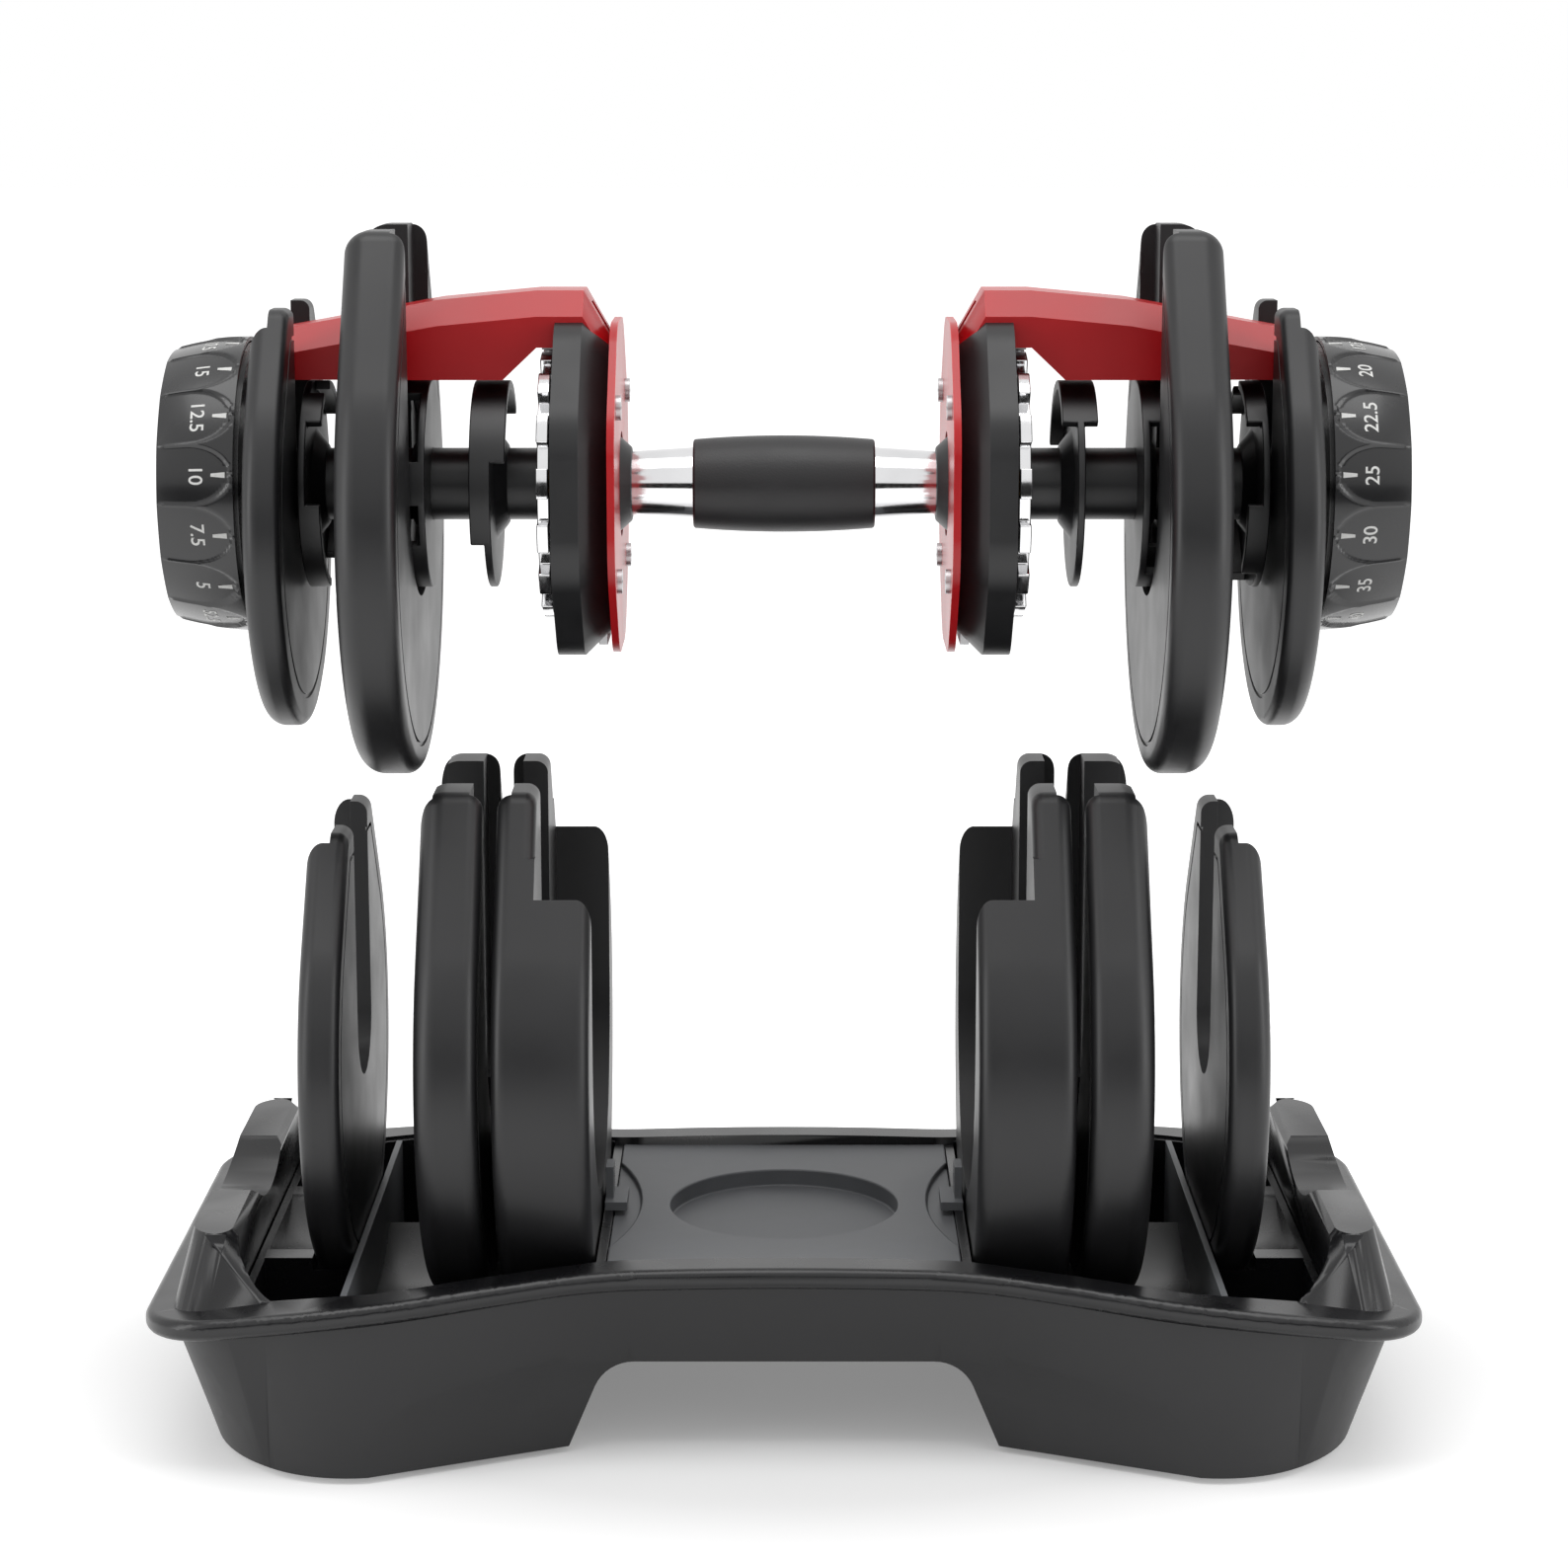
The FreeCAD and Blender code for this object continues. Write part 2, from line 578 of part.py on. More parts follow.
def make_dial_cap():
    """The disc that closes the dial's outer end, dished in the middle."""
    outer = DIAL_OUTER_X - CAP_RECESS
    cap = rod(DIAL_OUTER_RADIUS - DIAL_WALL, outer - CAP_THICKNESS, outer)
    dish = rod(DIAL_OUTER_RADIUS - DIAL_WALL - 7, outer - 1.2, outer + 1)
    rib = rod(12.0, outer - 1.3, outer - 0.4)
    return cap.cut(dish).fuse(rib).removeSplitter()


def make_axle_end_nuts():
    flange_end = SPINDLE_END_X + SEAT_GAP + BUSHING_FLANGE
    hexagon = [(NUT_RADIUS * math.cos(math.radians(60 * i)),
                NUT_RADIUS * math.sin(math.radians(60 * i)), 0) for i in range(6)]
    nut = prism(hexagon, on_yz(flange_end), Vector(NUT_LENGTH, 0, 0))
    nut = nut.cut(rod(AXLE_RADIUS, flange_end - 1, flange_end + NUT_LENGTH + 1))
    return Part.makeCompound([nut, turned(nut)])


def make_spindle_bushings():
    """Four flanged bushings on the axle, two in each spindle."""
    inner_face = SPINDLE_START_X - SEAT_GAP
    outer_face = SPINDLE_END_X + SEAT_GAP
    bushings = []
    for sleeve, flange in (
        ((inner_face, inner_face + BUSHING_LENGTH), (HOUSING_OUTER_X, inner_face)),
        ((outer_face - BUSHING_LENGTH, outer_face), (outer_face, outer_face + BUSHING_FLANGE)),
    ):
        bush = rod(BUSHING_RADIUS, *sleeve).fuse(rod(BUSHING_FLANGE_RADIUS, *flange))
        bushings.append(bush.removeSplitter().cut(rod(AXLE_RADIUS, flange[0] - 20, flange[1] + 20)))
    return Part.makeCompound(bushings + [turned(bush) for bush in bushings])


# ---- Plates ----

def plate_wire(plate, inset, x):
    """A plate's outline: a circle drawn out to two horns at the top."""
    radius = plate["radius"] - inset
    centre = plate["centre"]
    top = plate["top"] - inset
    horn = plate["horn"] - inset / 2
    reach = math.hypot(horn, top - centre)
    angle = math.atan2(top - centre, horn) - math.acos(radius / reach)
    side = (radius * math.cos(angle), centre + radius * math.sin(angle))
    corner = max(HORN_CORNER_RADIUS - inset, 1.0)
    crown = [(side[0], side[1], 0), (horn, top, corner), (-horn, top, corner),
             (-side[0], side[1], 0)]
    edges = rounded_edges(crown, on_yz(x), closed=False)
    low = Part.Arc(Vector(x, -side[0], side[1]), Vector(x, 0, centre - radius),
                   Vector(x, side[0], side[1])).toShape()
    return Part.Wire(edges + [low])


def plate_slab(plate, inset, start, end):
    return Part.Face(plate_wire(plate, inset, start)).extrude(Vector(end - start, 0, 0))


def slot(half_width, start, end):
    """A U open at the top, round the handle's axis."""
    channel = box((start, end), (-half_width, half_width), (0, FAR))
    return channel.fuse(rod(half_width, start, end)).removeSplitter()


def edges_at(shape, x):
    """A shape's edges that lie in the plane X = x."""
    found = []
    for edge in shape.Edges:
        bounds = edge.BoundBox
        if abs(bounds.XMin - x) < 0.001 and abs(bounds.XMax - x) < 0.001:
            found.append(edge)
    return found


def nub(start, end):
    """The lug that a disc's rim passes under."""
    lug = rod(DISC_RIM_INNER_RADIUS - SEAT_GAP, start, end).cut(rod(NUB_INNER_RADIUS, start, end))
    strip = box((start, end), (-NUB_HALF_WIDTH, NUB_HALF_WIDTH), (-FAR, 0))
    return lug.common(strip)


# For each plate: its channels as (from, to) along X, and its nub
PLATE_CHANNELS = {
    1: [(164.3, 171.0)],
    2: [(148.3, 157.0)],
    3: [(119.0, 124.8)],
    4: [(97.0, 102.4), (114.6, 119.5)],
    5: [(88.8, 94.5)],
}
PLATE_NUBS = {1: (164.3, 169.2), 2: (148.3, 153.0), 3: (119.0, 124.8), 4: (98.0, 102.4),
              5: (88.8, 93.6)}


def belly_slab(plate, inset, start, end):
    """The thick part of the innermost plate, a U round the housing."""
    lower = plate_slab(plate, inset, start, end)
    return lower.common(box((start, end), (-FAR, FAR), (-FAR, BELLY_TOP_Z - inset)))


def make_plate(number):
    """A plate's moulded cover and the steel core sealed in it."""
    plate = PLATES[number]
    inner, outer = plate["inner"], plate["outer"]
    whole = plate_slab(plate, 0, inner, outer)
    whole = whole.makeFillet(plate["outer_round"], edges_at(whole, outer))
    whole = whole.makeFillet(plate["inner_round"], edges_at(whole, inner))
    core = plate_slab(plate, CORE_INSET, inner + CORE_SKIN, outer - CORE_SKIN)
    if number == 5:
        belly = belly_slab(plate, 0, BELLY_INNER_X, inner + plate["inner_round"] + 1)
        belly = belly.makeFillet(BELLY_ROUND, edges_at(belly, BELLY_INNER_X))
        whole = whole.fuse(belly).removeSplitter()
        bore = slot(BELLY_BORE_RADIUS, BELLY_INNER_X - 1, inner)
        whole = whole.cut(bore)
        inner_core = belly_slab(plate, CORE_INSET, BELLY_INNER_X + CORE_SKIN, inner + CORE_SKIN + 1)
        core = core.fuse(inner_core).removeSplitter()
        core = core.cut(slot(BELLY_BORE_RADIUS + CORE_SLOT_MARGIN, BELLY_INNER_X, inner + CORE_SKIN))
    for face, side in ((outer, -1), (inner, 1)):
        if number == 5 and side == 1:
            continue
        start, end = sorted((face, face + side * GROOVE_DEPTH))
        band = plate_slab(plate, GROOVE_INSET, start, end)
        band = band.cut(plate_slab(plate, GROOVE_INSET + GROOVE_WIDTH, start, end))
        whole = whole.cut(band)
    whole = whole.cut(slot(SLOT_HALF_WIDTH, BELLY_INNER_X - 1, FAR))
    core = core.cut(slot(SLOT_HALF_WIDTH + CORE_SLOT_MARGIN, BELLY_INNER_X - 1, FAR))
    for start, end in PLATE_CHANNELS[number]:
        whole = whole.cut(slot(CHANNEL_HALF_WIDTH, start, end))
        margin = CORE_SLOT_MARGIN
        core = core.cut(slot(CHANNEL_HALF_WIDTH + margin, start - margin, end + margin))
    whole = whole.fuse(nub(*PLATE_NUBS[number])).removeSplitter()
    return whole.cut(core), core


# ---- Tray ----

def skirt(inset):
    """The space inside the skirt's face, from the foot outline up to the rim."""
    low = rounded_wire(four_quarters(FOOT_PLAN, inset), on_xy(TRAY_BOTTOM_Z))
    high = rounded_wire(four_quarters(RIM_PLAN, inset), on_xy(RIM_TOP_Z))
    return Part.makeLoft([low, high], True, True)


def arch_corners(foot_x, top_x, top_z, corner):
    """An arch's outline, carried on in line to just below the floor."""
    depth = 4.0
    low_x = foot_x + (foot_x - top_x) / top_z * depth
    return [(-low_x, -depth, 0), (low_x, -depth, 0), (top_x, top_z, corner),
            (-top_x, top_z, corner)]


def arch_prism(wall):
    """The passage under the bridge, with a wall's thickness added."""
    corners = arch_corners(ARCH_FOOT_X + wall, ARCH_TOP_X + wall, ARCH_TOP_Z + wall,
                           ARCH_CORNER_RADIUS)
    return prism(corners, on_xz(-FAR / 2), Vector(0, FAR, 0))


def scoop(side, wall):
    """The recess that flares out from the arch to the skirt's face."""
    wires = []
    for y, foot_x, top_x, top_z, corner in SCOOP_SECTIONS:
        corners = arch_corners(foot_x + wall, top_x + wall, top_z + wall, corner)
        wires.append(rounded_wire(corners, on_xz(side * (y - wall))))
    spans = [Part.makeLoft([a, b], True, True) for a, b in zip(wires, wires[1:])]
    return fused(spans)


def all_four(places):
    return [(sx * x, sy * y) for x, y in places for sx in (-1, 1) for sy in (-1, 1)]


def make_tray_base():
    """The skirt: two feet joined by an arched bridge, hollow above its floor."""
    floor = box((-FAR, FAR), (-FAR, FAR), (-FAR, TRAY_FLOOR_Z))
    hollow = skirt(TRAY_WALL).cut(floor).cut(arch_prism(ARCH_WALL))
    for side in (-1, 1):
        hollow = hollow.cut(scoop(side, ARCH_WALL))
    base = skirt(0).cut(hollow).common(rim_surface(RIM_THICKNESS)).cut(arch_prism(0))
    for side in (-1, 1):
        base = base.cut(scoop(side, 0))
    for x, y in all_four(SCREW_PLACES):
        base = base.cut(pillar(SCREW_RADIUS, x, y, 0, TRAY_FLOOR_Z + 1))
        base = base.cut(pillar(SCREW_HEAD_RADIUS, x, y, 0, TRAY_BOTTOM_Z + 1.6))
    return base


def opening_prism(inset):
    corners = four_quarters(OPENING_PLAN, inset)
    return prism(corners, on_xy(0), Vector(0, 0, FAR / 2))


def make_tray_rim():
    """The upper moulding: a rolled lip, and a raised collar round each end."""
    plan = four_quarters(RIM_PLAN, -RIM_OVERHANG)
    band = prism(plan, on_xy(0), Vector(0, 0, RIM_TOP_Z + 5))
    band = band.common(rim_surface(0)).cut(rim_surface(RIM_THICKNESS))
    outer = [edge for edge in band.Edges if edge.BoundBox.ZLength < 60 and on_lip(edge)]
    band = band.makeFillet(RIM_ROUND, outer)
    rim = fused([band, end_collar(), turned(end_collar())])
    rim = rim.cut(opening_prism(0))
    return rim


def on_lip(edge):
    """True for the long edges of the lip's outside, not the upright seams."""
    bounds = edge.BoundBox
    return max(bounds.XLength, bounds.YLength) > 1.0


def end_collar():
    """A tapered block with a saddle under the dial."""
    def ring(x_range, half, z):
        corners = [(x_range[0], -half, 8.0), (x_range[1], -half, 12.0),
                   (x_range[1], half, 12.0), (x_range[0], half, 8.0)]
        return rounded_wire(corners, on_xy(z))

    base_z = RIM_TOP_Z - RIM_DROOP - 6
    block = Part.makeLoft([ring(COLLAR_BASE_X, COLLAR_BASE_Y, base_z),
                           ring(COLLAR_TOP_X, COLLAR_TOP_Y, COLLAR_TOP_Z)], True, True)
    block = block.cut(rod(DIAL_SADDLE_RADIUS, 0, FAR, 0, SEATED_AXIS_Z))
    return block.cut(rim_surface(RIM_THICKNESS))


def make_tray_deck():
    """The flat deck between the wells, with a round recess."""
    half = DECK_HALF_LENGTH
    inset = WELL_GAP
    deck = opening_prism(inset).common(box((-half, half), (-FAR, FAR),
                                           (DECK_TOP_Z - DECK_THICKNESS, DECK_TOP_Z)))
    depth = DECK_TOP_Z - DECK_RECESS_DEPTH
    deck = deck.fuse(pillar(DECK_RECESS_RADIUS + 3, 0, 0, depth - 3, DECK_TOP_Z))
    deck = deck.cut(pillar(DECK_RECESS_RADIUS, 0, 0, depth, DECK_TOP_Z + 1))
    for side in (-1, 1):
        x = side * (half - DECK_CRESCENT_WIDTH + DECK_CRESCENT_RADIUS)
        deck = deck.cut(pillar(DECK_CRESCENT_RADIUS, x, 0, DECK_TOP_Z - DECK_CRESCENT_DEPTH,
                               DECK_TOP_Z + 1))
    return deck.removeSplitter()


def make_well():
    """A tub for one head's plates, with a curved saddle under each."""
    start = DECK_HALF_LENGTH + WELL_GAP
    tub = opening_prism(WELL_GAP).common(box((start, WELL_END_X + WELL_WALL - 0.5),
                                             (-FAR, FAR), (TRAY_FLOOR_Z, FAR)))
    tub = tub.common(rim_surface(1.0)).common(skirt(TRAY_WALL + WELL_GAP))
    tub = tub.cut(box((0, start + WELL_WALL), (-FAR, FAR), (DECK_TOP_Z, FAR)))
    pocket_floor = TRAY_FLOOR_Z + WELL_WALL
    hollow = opening_prism(WELL_GAP + WELL_WALL).common(skirt(TRAY_WALL + WELL_GAP + WELL_WALL))
    hollow = hollow.common(box((start + WELL_WALL, WELL_END_X), (-FAR, FAR), (pocket_floor, FAR)))
    tub = tub.cut(hollow)
    width = WELL_SADDLE_HALF_WIDTH
    saddles = []
    edges = [(start + WELL_WALL, SADDLE_EDGE_5_X, 5), (SADDLE_EDGE_5_X, DIVIDER_X[0], 3),
             (DIVIDER_X[1], SADDLE_EDGE_2_X, 2), (SADDLE_EDGE_2_X, WELL_END_X, 1)]
    for low, high, number in edges:
        plate = PLATES[number]
        block = box((low, high), (-width, width), (pocket_floor, RIM_TOP_Z - 10))
        radius = plate["radius"] + SEAT_GAP
        block = block.cut(rod(radius, low - 1, high + 1, 0, SEATED_AXIS_Z + plate["centre"]))
        saddles.append(block)
    tub = fused([tub] + saddles).cut(arch_prism(ARCH_WALL + WELL_GAP))
    for side in (-1, 1):
        tub = tub.cut(scoop(side, ARCH_WALL + WELL_GAP))
    for x, y in all_four(SCREW_PLACES):
        if x > 0:
            tub = tub.cut(pillar(SCREW_RADIUS, x, y, TRAY_FLOOR_Z - 1, TRAY_FLOOR_Z + 8))
    return tub


def make_tray_dividers():
    """The upright strips between the second and third plates."""
    hollow = opening_prism(WELL_GAP + WELL_WALL).common(skirt(TRAY_WALL + WELL_GAP + WELL_WALL))
    strip = box(DIVIDER_X, (-FAR, FAR), (TRAY_FLOOR_Z + WELL_WALL, DIVIDER_TOP_Z))
    strip = strip.common(hollow)
    return Part.makeCompound([strip, turned(strip)])


def make_release_posts():
    """The posts that push each lock slide up when the dumbbell is put away."""
    top = SEATED_AXIS_Z + LOCK_FOOT_Z - SEAT_GAP
    wall_top = DECK_TOP_Z
    tab = box((POST_TAB_X, LOCK_X + LOCK_THICKNESS), (-POST_TAB_HALF_WIDTH, POST_TAB_HALF_WIDTH),
              (wall_top, wall_top + POST_TAB_THICKNESS))
    half_gap = 0.2
    upright = box((LOCK_X + half_gap, LOCK_X + LOCK_THICKNESS - half_gap),
                  (-POST_HALF_WIDTH, POST_HALF_WIDTH), (wall_top, top))
    post = tab.fuse(upright).removeSplitter()
    post = post.cut(rod(POST_HOLE_RADIUS, POST_TAB_X, FAR, 0, wall_top + POST_TAB_THICKNESS + 5))
    return Part.makeCompound([post, turned(post)])


def make_rubber_feet():
    feet = [pillar(FOOT_RADIUS, x, y, 0, TRAY_BOTTOM_Z) for x, y in all_four(FOOT_PLACES)]
    return Part.makeCompound(feet)


def make_tray_screws():
    screws = []
    for x, y in all_four(SCREW_PLACES):
        head = pillar(SCREW_HEAD_RADIUS, x, y, TRAY_BOTTOM_Z + 0.2, TRAY_BOTTOM_Z + 1.6)
        shank = pillar(SCREW_RADIUS, x, y, TRAY_BOTTOM_Z + 1.6, TRAY_FLOOR_Z + 7)
        slot_cut = box((x - 3, x + 3), (y - 0.5, y + 0.5), (0, TRAY_BOTTOM_Z + 0.8))
        screws.append(head.fuse(shank).removeSplitter().cut(slot_cut))
    return Part.makeCompound(screws)


def build_handle():
    z = CARRIED_AXIS_Z
    save("grip_sleeve", raised(make_grip_sleeve(), z))
    save("handle_bar", raised(make_handle_bar(), z))
    save("axle_rod", raised(rod(AXLE_RADIUS, -AXLE_HALF_LENGTH, AXLE_HALF_LENGTH), z))
    save_pair("housing", make_housing(), z)
    save_pair("hub_collar", make_hub_collar(), z)
    save_pair("arm_cover", make_arm_cover(), z)
    save("housing_screws", raised(make_housing_screws(), z))
    save("axle_end_nuts", raised(make_axle_end_nuts(), z))
    save("spindle_bushings", raised(make_spindle_bushings(), z))
    save_pair("lock_slide", make_lock_slide(), z)
    save_pair("lock_spring", make_lock_spring(), z)


def build_selectors():
    z = CARRIED_AXIS_Z
    save_pair("spindle_tube", make_spindle_tube(), z)
    save_pair("index_wheel", make_index_wheel(), z)
    rims = hook_rims(2, DISC_A_RIM_START_X, DISC_A_X)
    save_pair("disc_a", make_disc(DISC_A_X, rims, False), z)
    rims = hook_rims(3, DISC_B_X + DISC_WEB, DISC_B_RIM_END_X)
    save_pair("disc_b", make_disc(DISC_B_X, rims, True), z)
    rims = hook_rims(4, DISC_C_X + DISC_WEB, DISC_C_RIM_END_X)
    rims += hook_rims(5, DISC_C_RIM_START_X, DISC_C_X)
    save_pair("disc_c", make_disc(DISC_C_X, rims, False), z)
    save_pair("dial_ring", make_dial_ring(), z)
    save_pair("dial_cap", make_dial_cap(), z)


def build_plates():
    carried = HOOKED_PLATES[SHOWN_SETTING]
    for number in PLATES:
        height = CARRIED_AXIS_Z if number in carried else SEATED_AXIS_Z
        cover, core = make_plate(number)
        save_pair("plate_%d_cover" % number, cover, height)
        save_pair("plate_%d_core" % number, core, height)


def build_tray():
    save("tray_base", make_tray_base())
    save("tray_rim", make_tray_rim())
    save("tray_deck", make_tray_deck())
    save_pair("well", make_well())
    save("tray_dividers", make_tray_dividers())
    save("release_posts", make_release_posts())
    save("rubber_feet", make_rubber_feet())
    save("tray_screws", make_tray_screws())


build_handle()
build_selectors()
build_plates()
build_tray()
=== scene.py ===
"""Finishes of a dial-selected adjustable dumbbell and its storage tray."""

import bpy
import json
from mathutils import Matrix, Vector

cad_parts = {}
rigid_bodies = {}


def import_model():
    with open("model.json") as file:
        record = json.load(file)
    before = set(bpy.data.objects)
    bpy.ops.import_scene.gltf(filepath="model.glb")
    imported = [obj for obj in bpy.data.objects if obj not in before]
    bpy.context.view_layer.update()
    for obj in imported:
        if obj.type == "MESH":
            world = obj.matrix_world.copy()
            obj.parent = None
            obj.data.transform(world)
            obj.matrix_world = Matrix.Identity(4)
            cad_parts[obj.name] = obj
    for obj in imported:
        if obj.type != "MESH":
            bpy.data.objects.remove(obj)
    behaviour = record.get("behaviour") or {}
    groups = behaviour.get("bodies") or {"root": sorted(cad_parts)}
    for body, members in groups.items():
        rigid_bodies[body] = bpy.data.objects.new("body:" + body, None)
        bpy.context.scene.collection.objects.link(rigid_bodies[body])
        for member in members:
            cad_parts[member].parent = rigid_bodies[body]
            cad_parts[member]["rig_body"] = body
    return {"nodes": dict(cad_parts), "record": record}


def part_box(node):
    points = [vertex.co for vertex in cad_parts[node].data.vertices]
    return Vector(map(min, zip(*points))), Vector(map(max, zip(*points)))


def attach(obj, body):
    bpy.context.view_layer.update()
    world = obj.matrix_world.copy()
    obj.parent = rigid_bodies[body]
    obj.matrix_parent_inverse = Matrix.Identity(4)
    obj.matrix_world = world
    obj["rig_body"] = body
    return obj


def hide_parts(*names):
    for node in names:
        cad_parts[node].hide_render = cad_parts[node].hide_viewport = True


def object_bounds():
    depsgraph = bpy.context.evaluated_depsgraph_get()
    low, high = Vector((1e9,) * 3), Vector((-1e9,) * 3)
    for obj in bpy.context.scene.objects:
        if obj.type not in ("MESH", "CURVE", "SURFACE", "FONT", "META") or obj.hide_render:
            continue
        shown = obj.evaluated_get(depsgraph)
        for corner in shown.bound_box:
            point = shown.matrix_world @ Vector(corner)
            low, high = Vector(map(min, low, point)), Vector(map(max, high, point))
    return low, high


bl_info = {
    "name": "Adjustable dumbbell finishes",
    "version": (1, 0, 0),
    "blender": (4, 5, 0),
    "location": "View3D > Sidebar > Dumbbell",
    "description": "Softened edges, dials, finishes and a studio for an adjustable dumbbell",
    "category": "Object",
}

import json
import math

import bmesh
import bpy
from mathutils import Vector

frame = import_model()
CAD_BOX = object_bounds()
NODES = frame["nodes"]
RECORD = frame["record"]
SLOT_OF = {part["node"]: part["material_slot"] for part in RECORD["subparts"]}
SIDES = {"left": -1.0, "right": 1.0}

MM = 0.001
SETTINGS_LB = ("5", "7.5", "10", "12.5", "15", "17.5", "20", "22.5", "25", "30", "35",
               "40", "45", "50", "52.5")
SETTING_STEP = math.tau / len(SETTINGS_LB)
FRONT_LEAN = math.radians(9.5)      # how far the shown number stands above the front
FRONT_NUMBER = {"left": "10", "right": "25"}
MERGE_DISTANCE = 0.01 * MM
FLAT_ANGLE = math.radians(0.4)
SHARP_ANGLE = math.radians(35.0)


# ---- Settings ----

def length(label, about, value):
    return bpy.props.FloatProperty(name=label, description=about, default=value,
                                   min=0.0, unit="LENGTH", precision=5)


def colour(label, about, value):
    return bpy.props.FloatVectorProperty(name=label, description=about, default=value,
                                         subtype="COLOR", min=0.0, max=1.0)


class DumbbellFinish(bpy.types.PropertyGroup):
    """Colours of the finishes."""
    rubber: colour("Grip rubber", "Colour of the grip's rubber sleeve", (0.010, 0.010, 0.011))
    plate: colour("Plate covers", "Colour of the plates' moulded covers", (0.011, 0.011, 0.012))
    nylon: colour("Housings", "Colour of the housings and discs", (0.008, 0.008, 0.009))
    dial: colour("Dials", "Colour of the numbered dials", (0.008, 0.008, 0.009))
    red: colour("Arm covers", "Colour of the arm covers", (0.50, 0.003, 0.007))
    lip: colour("Tray lip", "Colour of the tray's lip and wells", (0.007, 0.007, 0.008))
    skirt: colour("Tray skirt", "Colour of the tray's skirt", (0.014, 0.014, 0.015))
    deck: colour("Tray deck", "Colour of the deck and posts", (0.150, 0.156, 0.165))
    paint: colour("Number paint", "Colour of the printed numbers", (0.86, 0.86, 0.84))
    steel: colour("Bright steel", "Colour of the bar and wheels", (0.80, 0.80, 0.81))


class DumbbellDetail(bpy.types.PropertyGroup):
    """Sizes of the small details."""
    edge: length("Edge round", "Width of the round on a moulded edge", 0.45 * MM)
    petal: length("Petal relief", "Height of the ridges between a dial's petals", 1.3 * MM)
    digit: length("Number size", "Height of a line of the dial's numbers", 6.4 * MM)
    tick: length("Tick length", "Length of the mark at each number", 4.5 * MM)


class DumbbellStudio(bpy.types.PropertyGroup):
    """Camera and lamps."""
    distance: length("Camera distance", "From the object's middle to the camera", 1.200)
    height: length("Camera height", "Camera height above the floor", 0.440)
    pitch: bpy.props.FloatProperty(name="Camera pitch", description="How far it looks down",
                                   default=math.radians(10.9), subtype="ANGLE")
    lens: bpy.props.FloatProperty(name="Lens", description="Focal length in millimetres",
                                  default=83.6, min=20.0)
    key_power: bpy.props.FloatProperty(name="Key power", description="Overhead lamp",
                                       default=13.0, min=0.0, unit="POWER")


# ---- Shader nodes ----

class Surface:
    """One procedural material under construction."""

    def __init__(self, name):
        self.material = bpy.data.materials.new(name)
        self.material.use_nodes = True
        self.nodes = self.material.node_tree.nodes
        self.links = self.material.node_tree.links
        self.shader = self.nodes["Principled BSDF"]
        self.place = self.nodes.new("ShaderNodeTexCoord").outputs["Object"]

    def join(self, output, node, name):
        self.links.new(output, node.inputs[name])

    def scaled_place(self, scale):
        mapping = self.nodes.new("ShaderNodeMapping")
        mapping.inputs["Scale"].default_value = scale
        self.join(self.place, mapping, "Vector")
        return mapping.outputs["Vector"]

    def noise(self, scale, detail=4.0, stretch=None):
        node = self.nodes.new("ShaderNodeTexNoise")
        node.inputs["Scale"].default_value = scale
        node.inputs["Detail"].default_value = detail
        source = self.place if stretch is None else self.scaled_place(stretch)
        self.join(source, node, "Vector")
        return node.outputs["Fac"]

    def cells(self, scale):
        node = self.nodes.new("ShaderNodeTexVoronoi")
        node.inputs["Scale"].default_value = scale
        self.join(self.place, node, "Vector")
        return node.outputs["Distance"]

    def ranged(self, value, low_in, high_in, low_out, high_out):
        node = self.nodes.new("ShaderNodeMapRange")
        bounds = (low_in, high_in, low_out, high_out)
        for name, number in zip(("From Min", "From Max", "To Min", "To Max"), bounds):
            node.inputs[name].default_value = number
        self.join(value, node, "Value")
        return node.outputs["Result"]

    def product(self, first, second):
        node = self.nodes.new("ShaderNodeMath")
        node.operation = "MULTIPLY"
        self.links.new(first, node.inputs[0])
        self.links.new(second, node.inputs[1])
        return node.outputs["Value"]

    def mixed(self, factor, first, second):
        node = self.nodes.new("ShaderNodeMix")
        node.data_type = "RGBA"
        self.links.new(factor, node.inputs["Factor"])
        for name, value in (("A", first), ("B", second)):
            socket = [s for s in node.inputs if s.name == name and s.type == "RGBA"][0]
            if isinstance(value, bpy.types.NodeSocket):
                self.links.new(value, socket)
            else:
                socket.default_value = (*value, 1.0)
        return [s for s in node.outputs if s.type == "RGBA"][0]

    def edges(self, radius):
        """A mask of the outer edges, paled partly as handling wear and partly as a painted highlight.
        """
        bevel = self.nodes.new("ShaderNodeBevel")
        bevel.samples = 4
        bevel.inputs["Radius"].default_value = radius
        flat = self.nodes.new("ShaderNodeNewGeometry").outputs["Normal"]
        dot = self.nodes.new("ShaderNodeVectorMath")
        dot.operation = "DOT_PRODUCT"
        self.links.new(bevel.outputs["Normal"], dot.inputs[0])
        self.links.new(flat, dot.inputs[1])
        # Patches that break up the paler edges, which are partly wear and partly a painted highlight
        patchy_wear_and_highlight = self.ranged(self.noise(160.0), 0.35, 0.65, 0.3, 1.0)
        return self.product(self.ranged(dot.outputs["Value"], 0.98, 0.75, 0.0, 1.0), patchy_wear_and_highlight)

    def bump(self, height, depth, strength=1.0):
        node = self.nodes.new("ShaderNodeBump")
        node.inputs["Distance"].default_value = depth
        node.inputs["Strength"].default_value = strength
        self.join(height, node, "Height")
        previous = self.shader.inputs["Normal"]
        if previous.is_linked:
            self.join(previous.links[0].from_socket, node, "Normal")
        self.links.new(node.outputs["Normal"], previous)

    def set(self, **values):
        for name, value in values.items():
            self.shader.inputs[name.replace("_", " ").title()].default_value = value


def tint(base, factor):
    return tuple(min(channel * factor, 1.0) for channel in base)


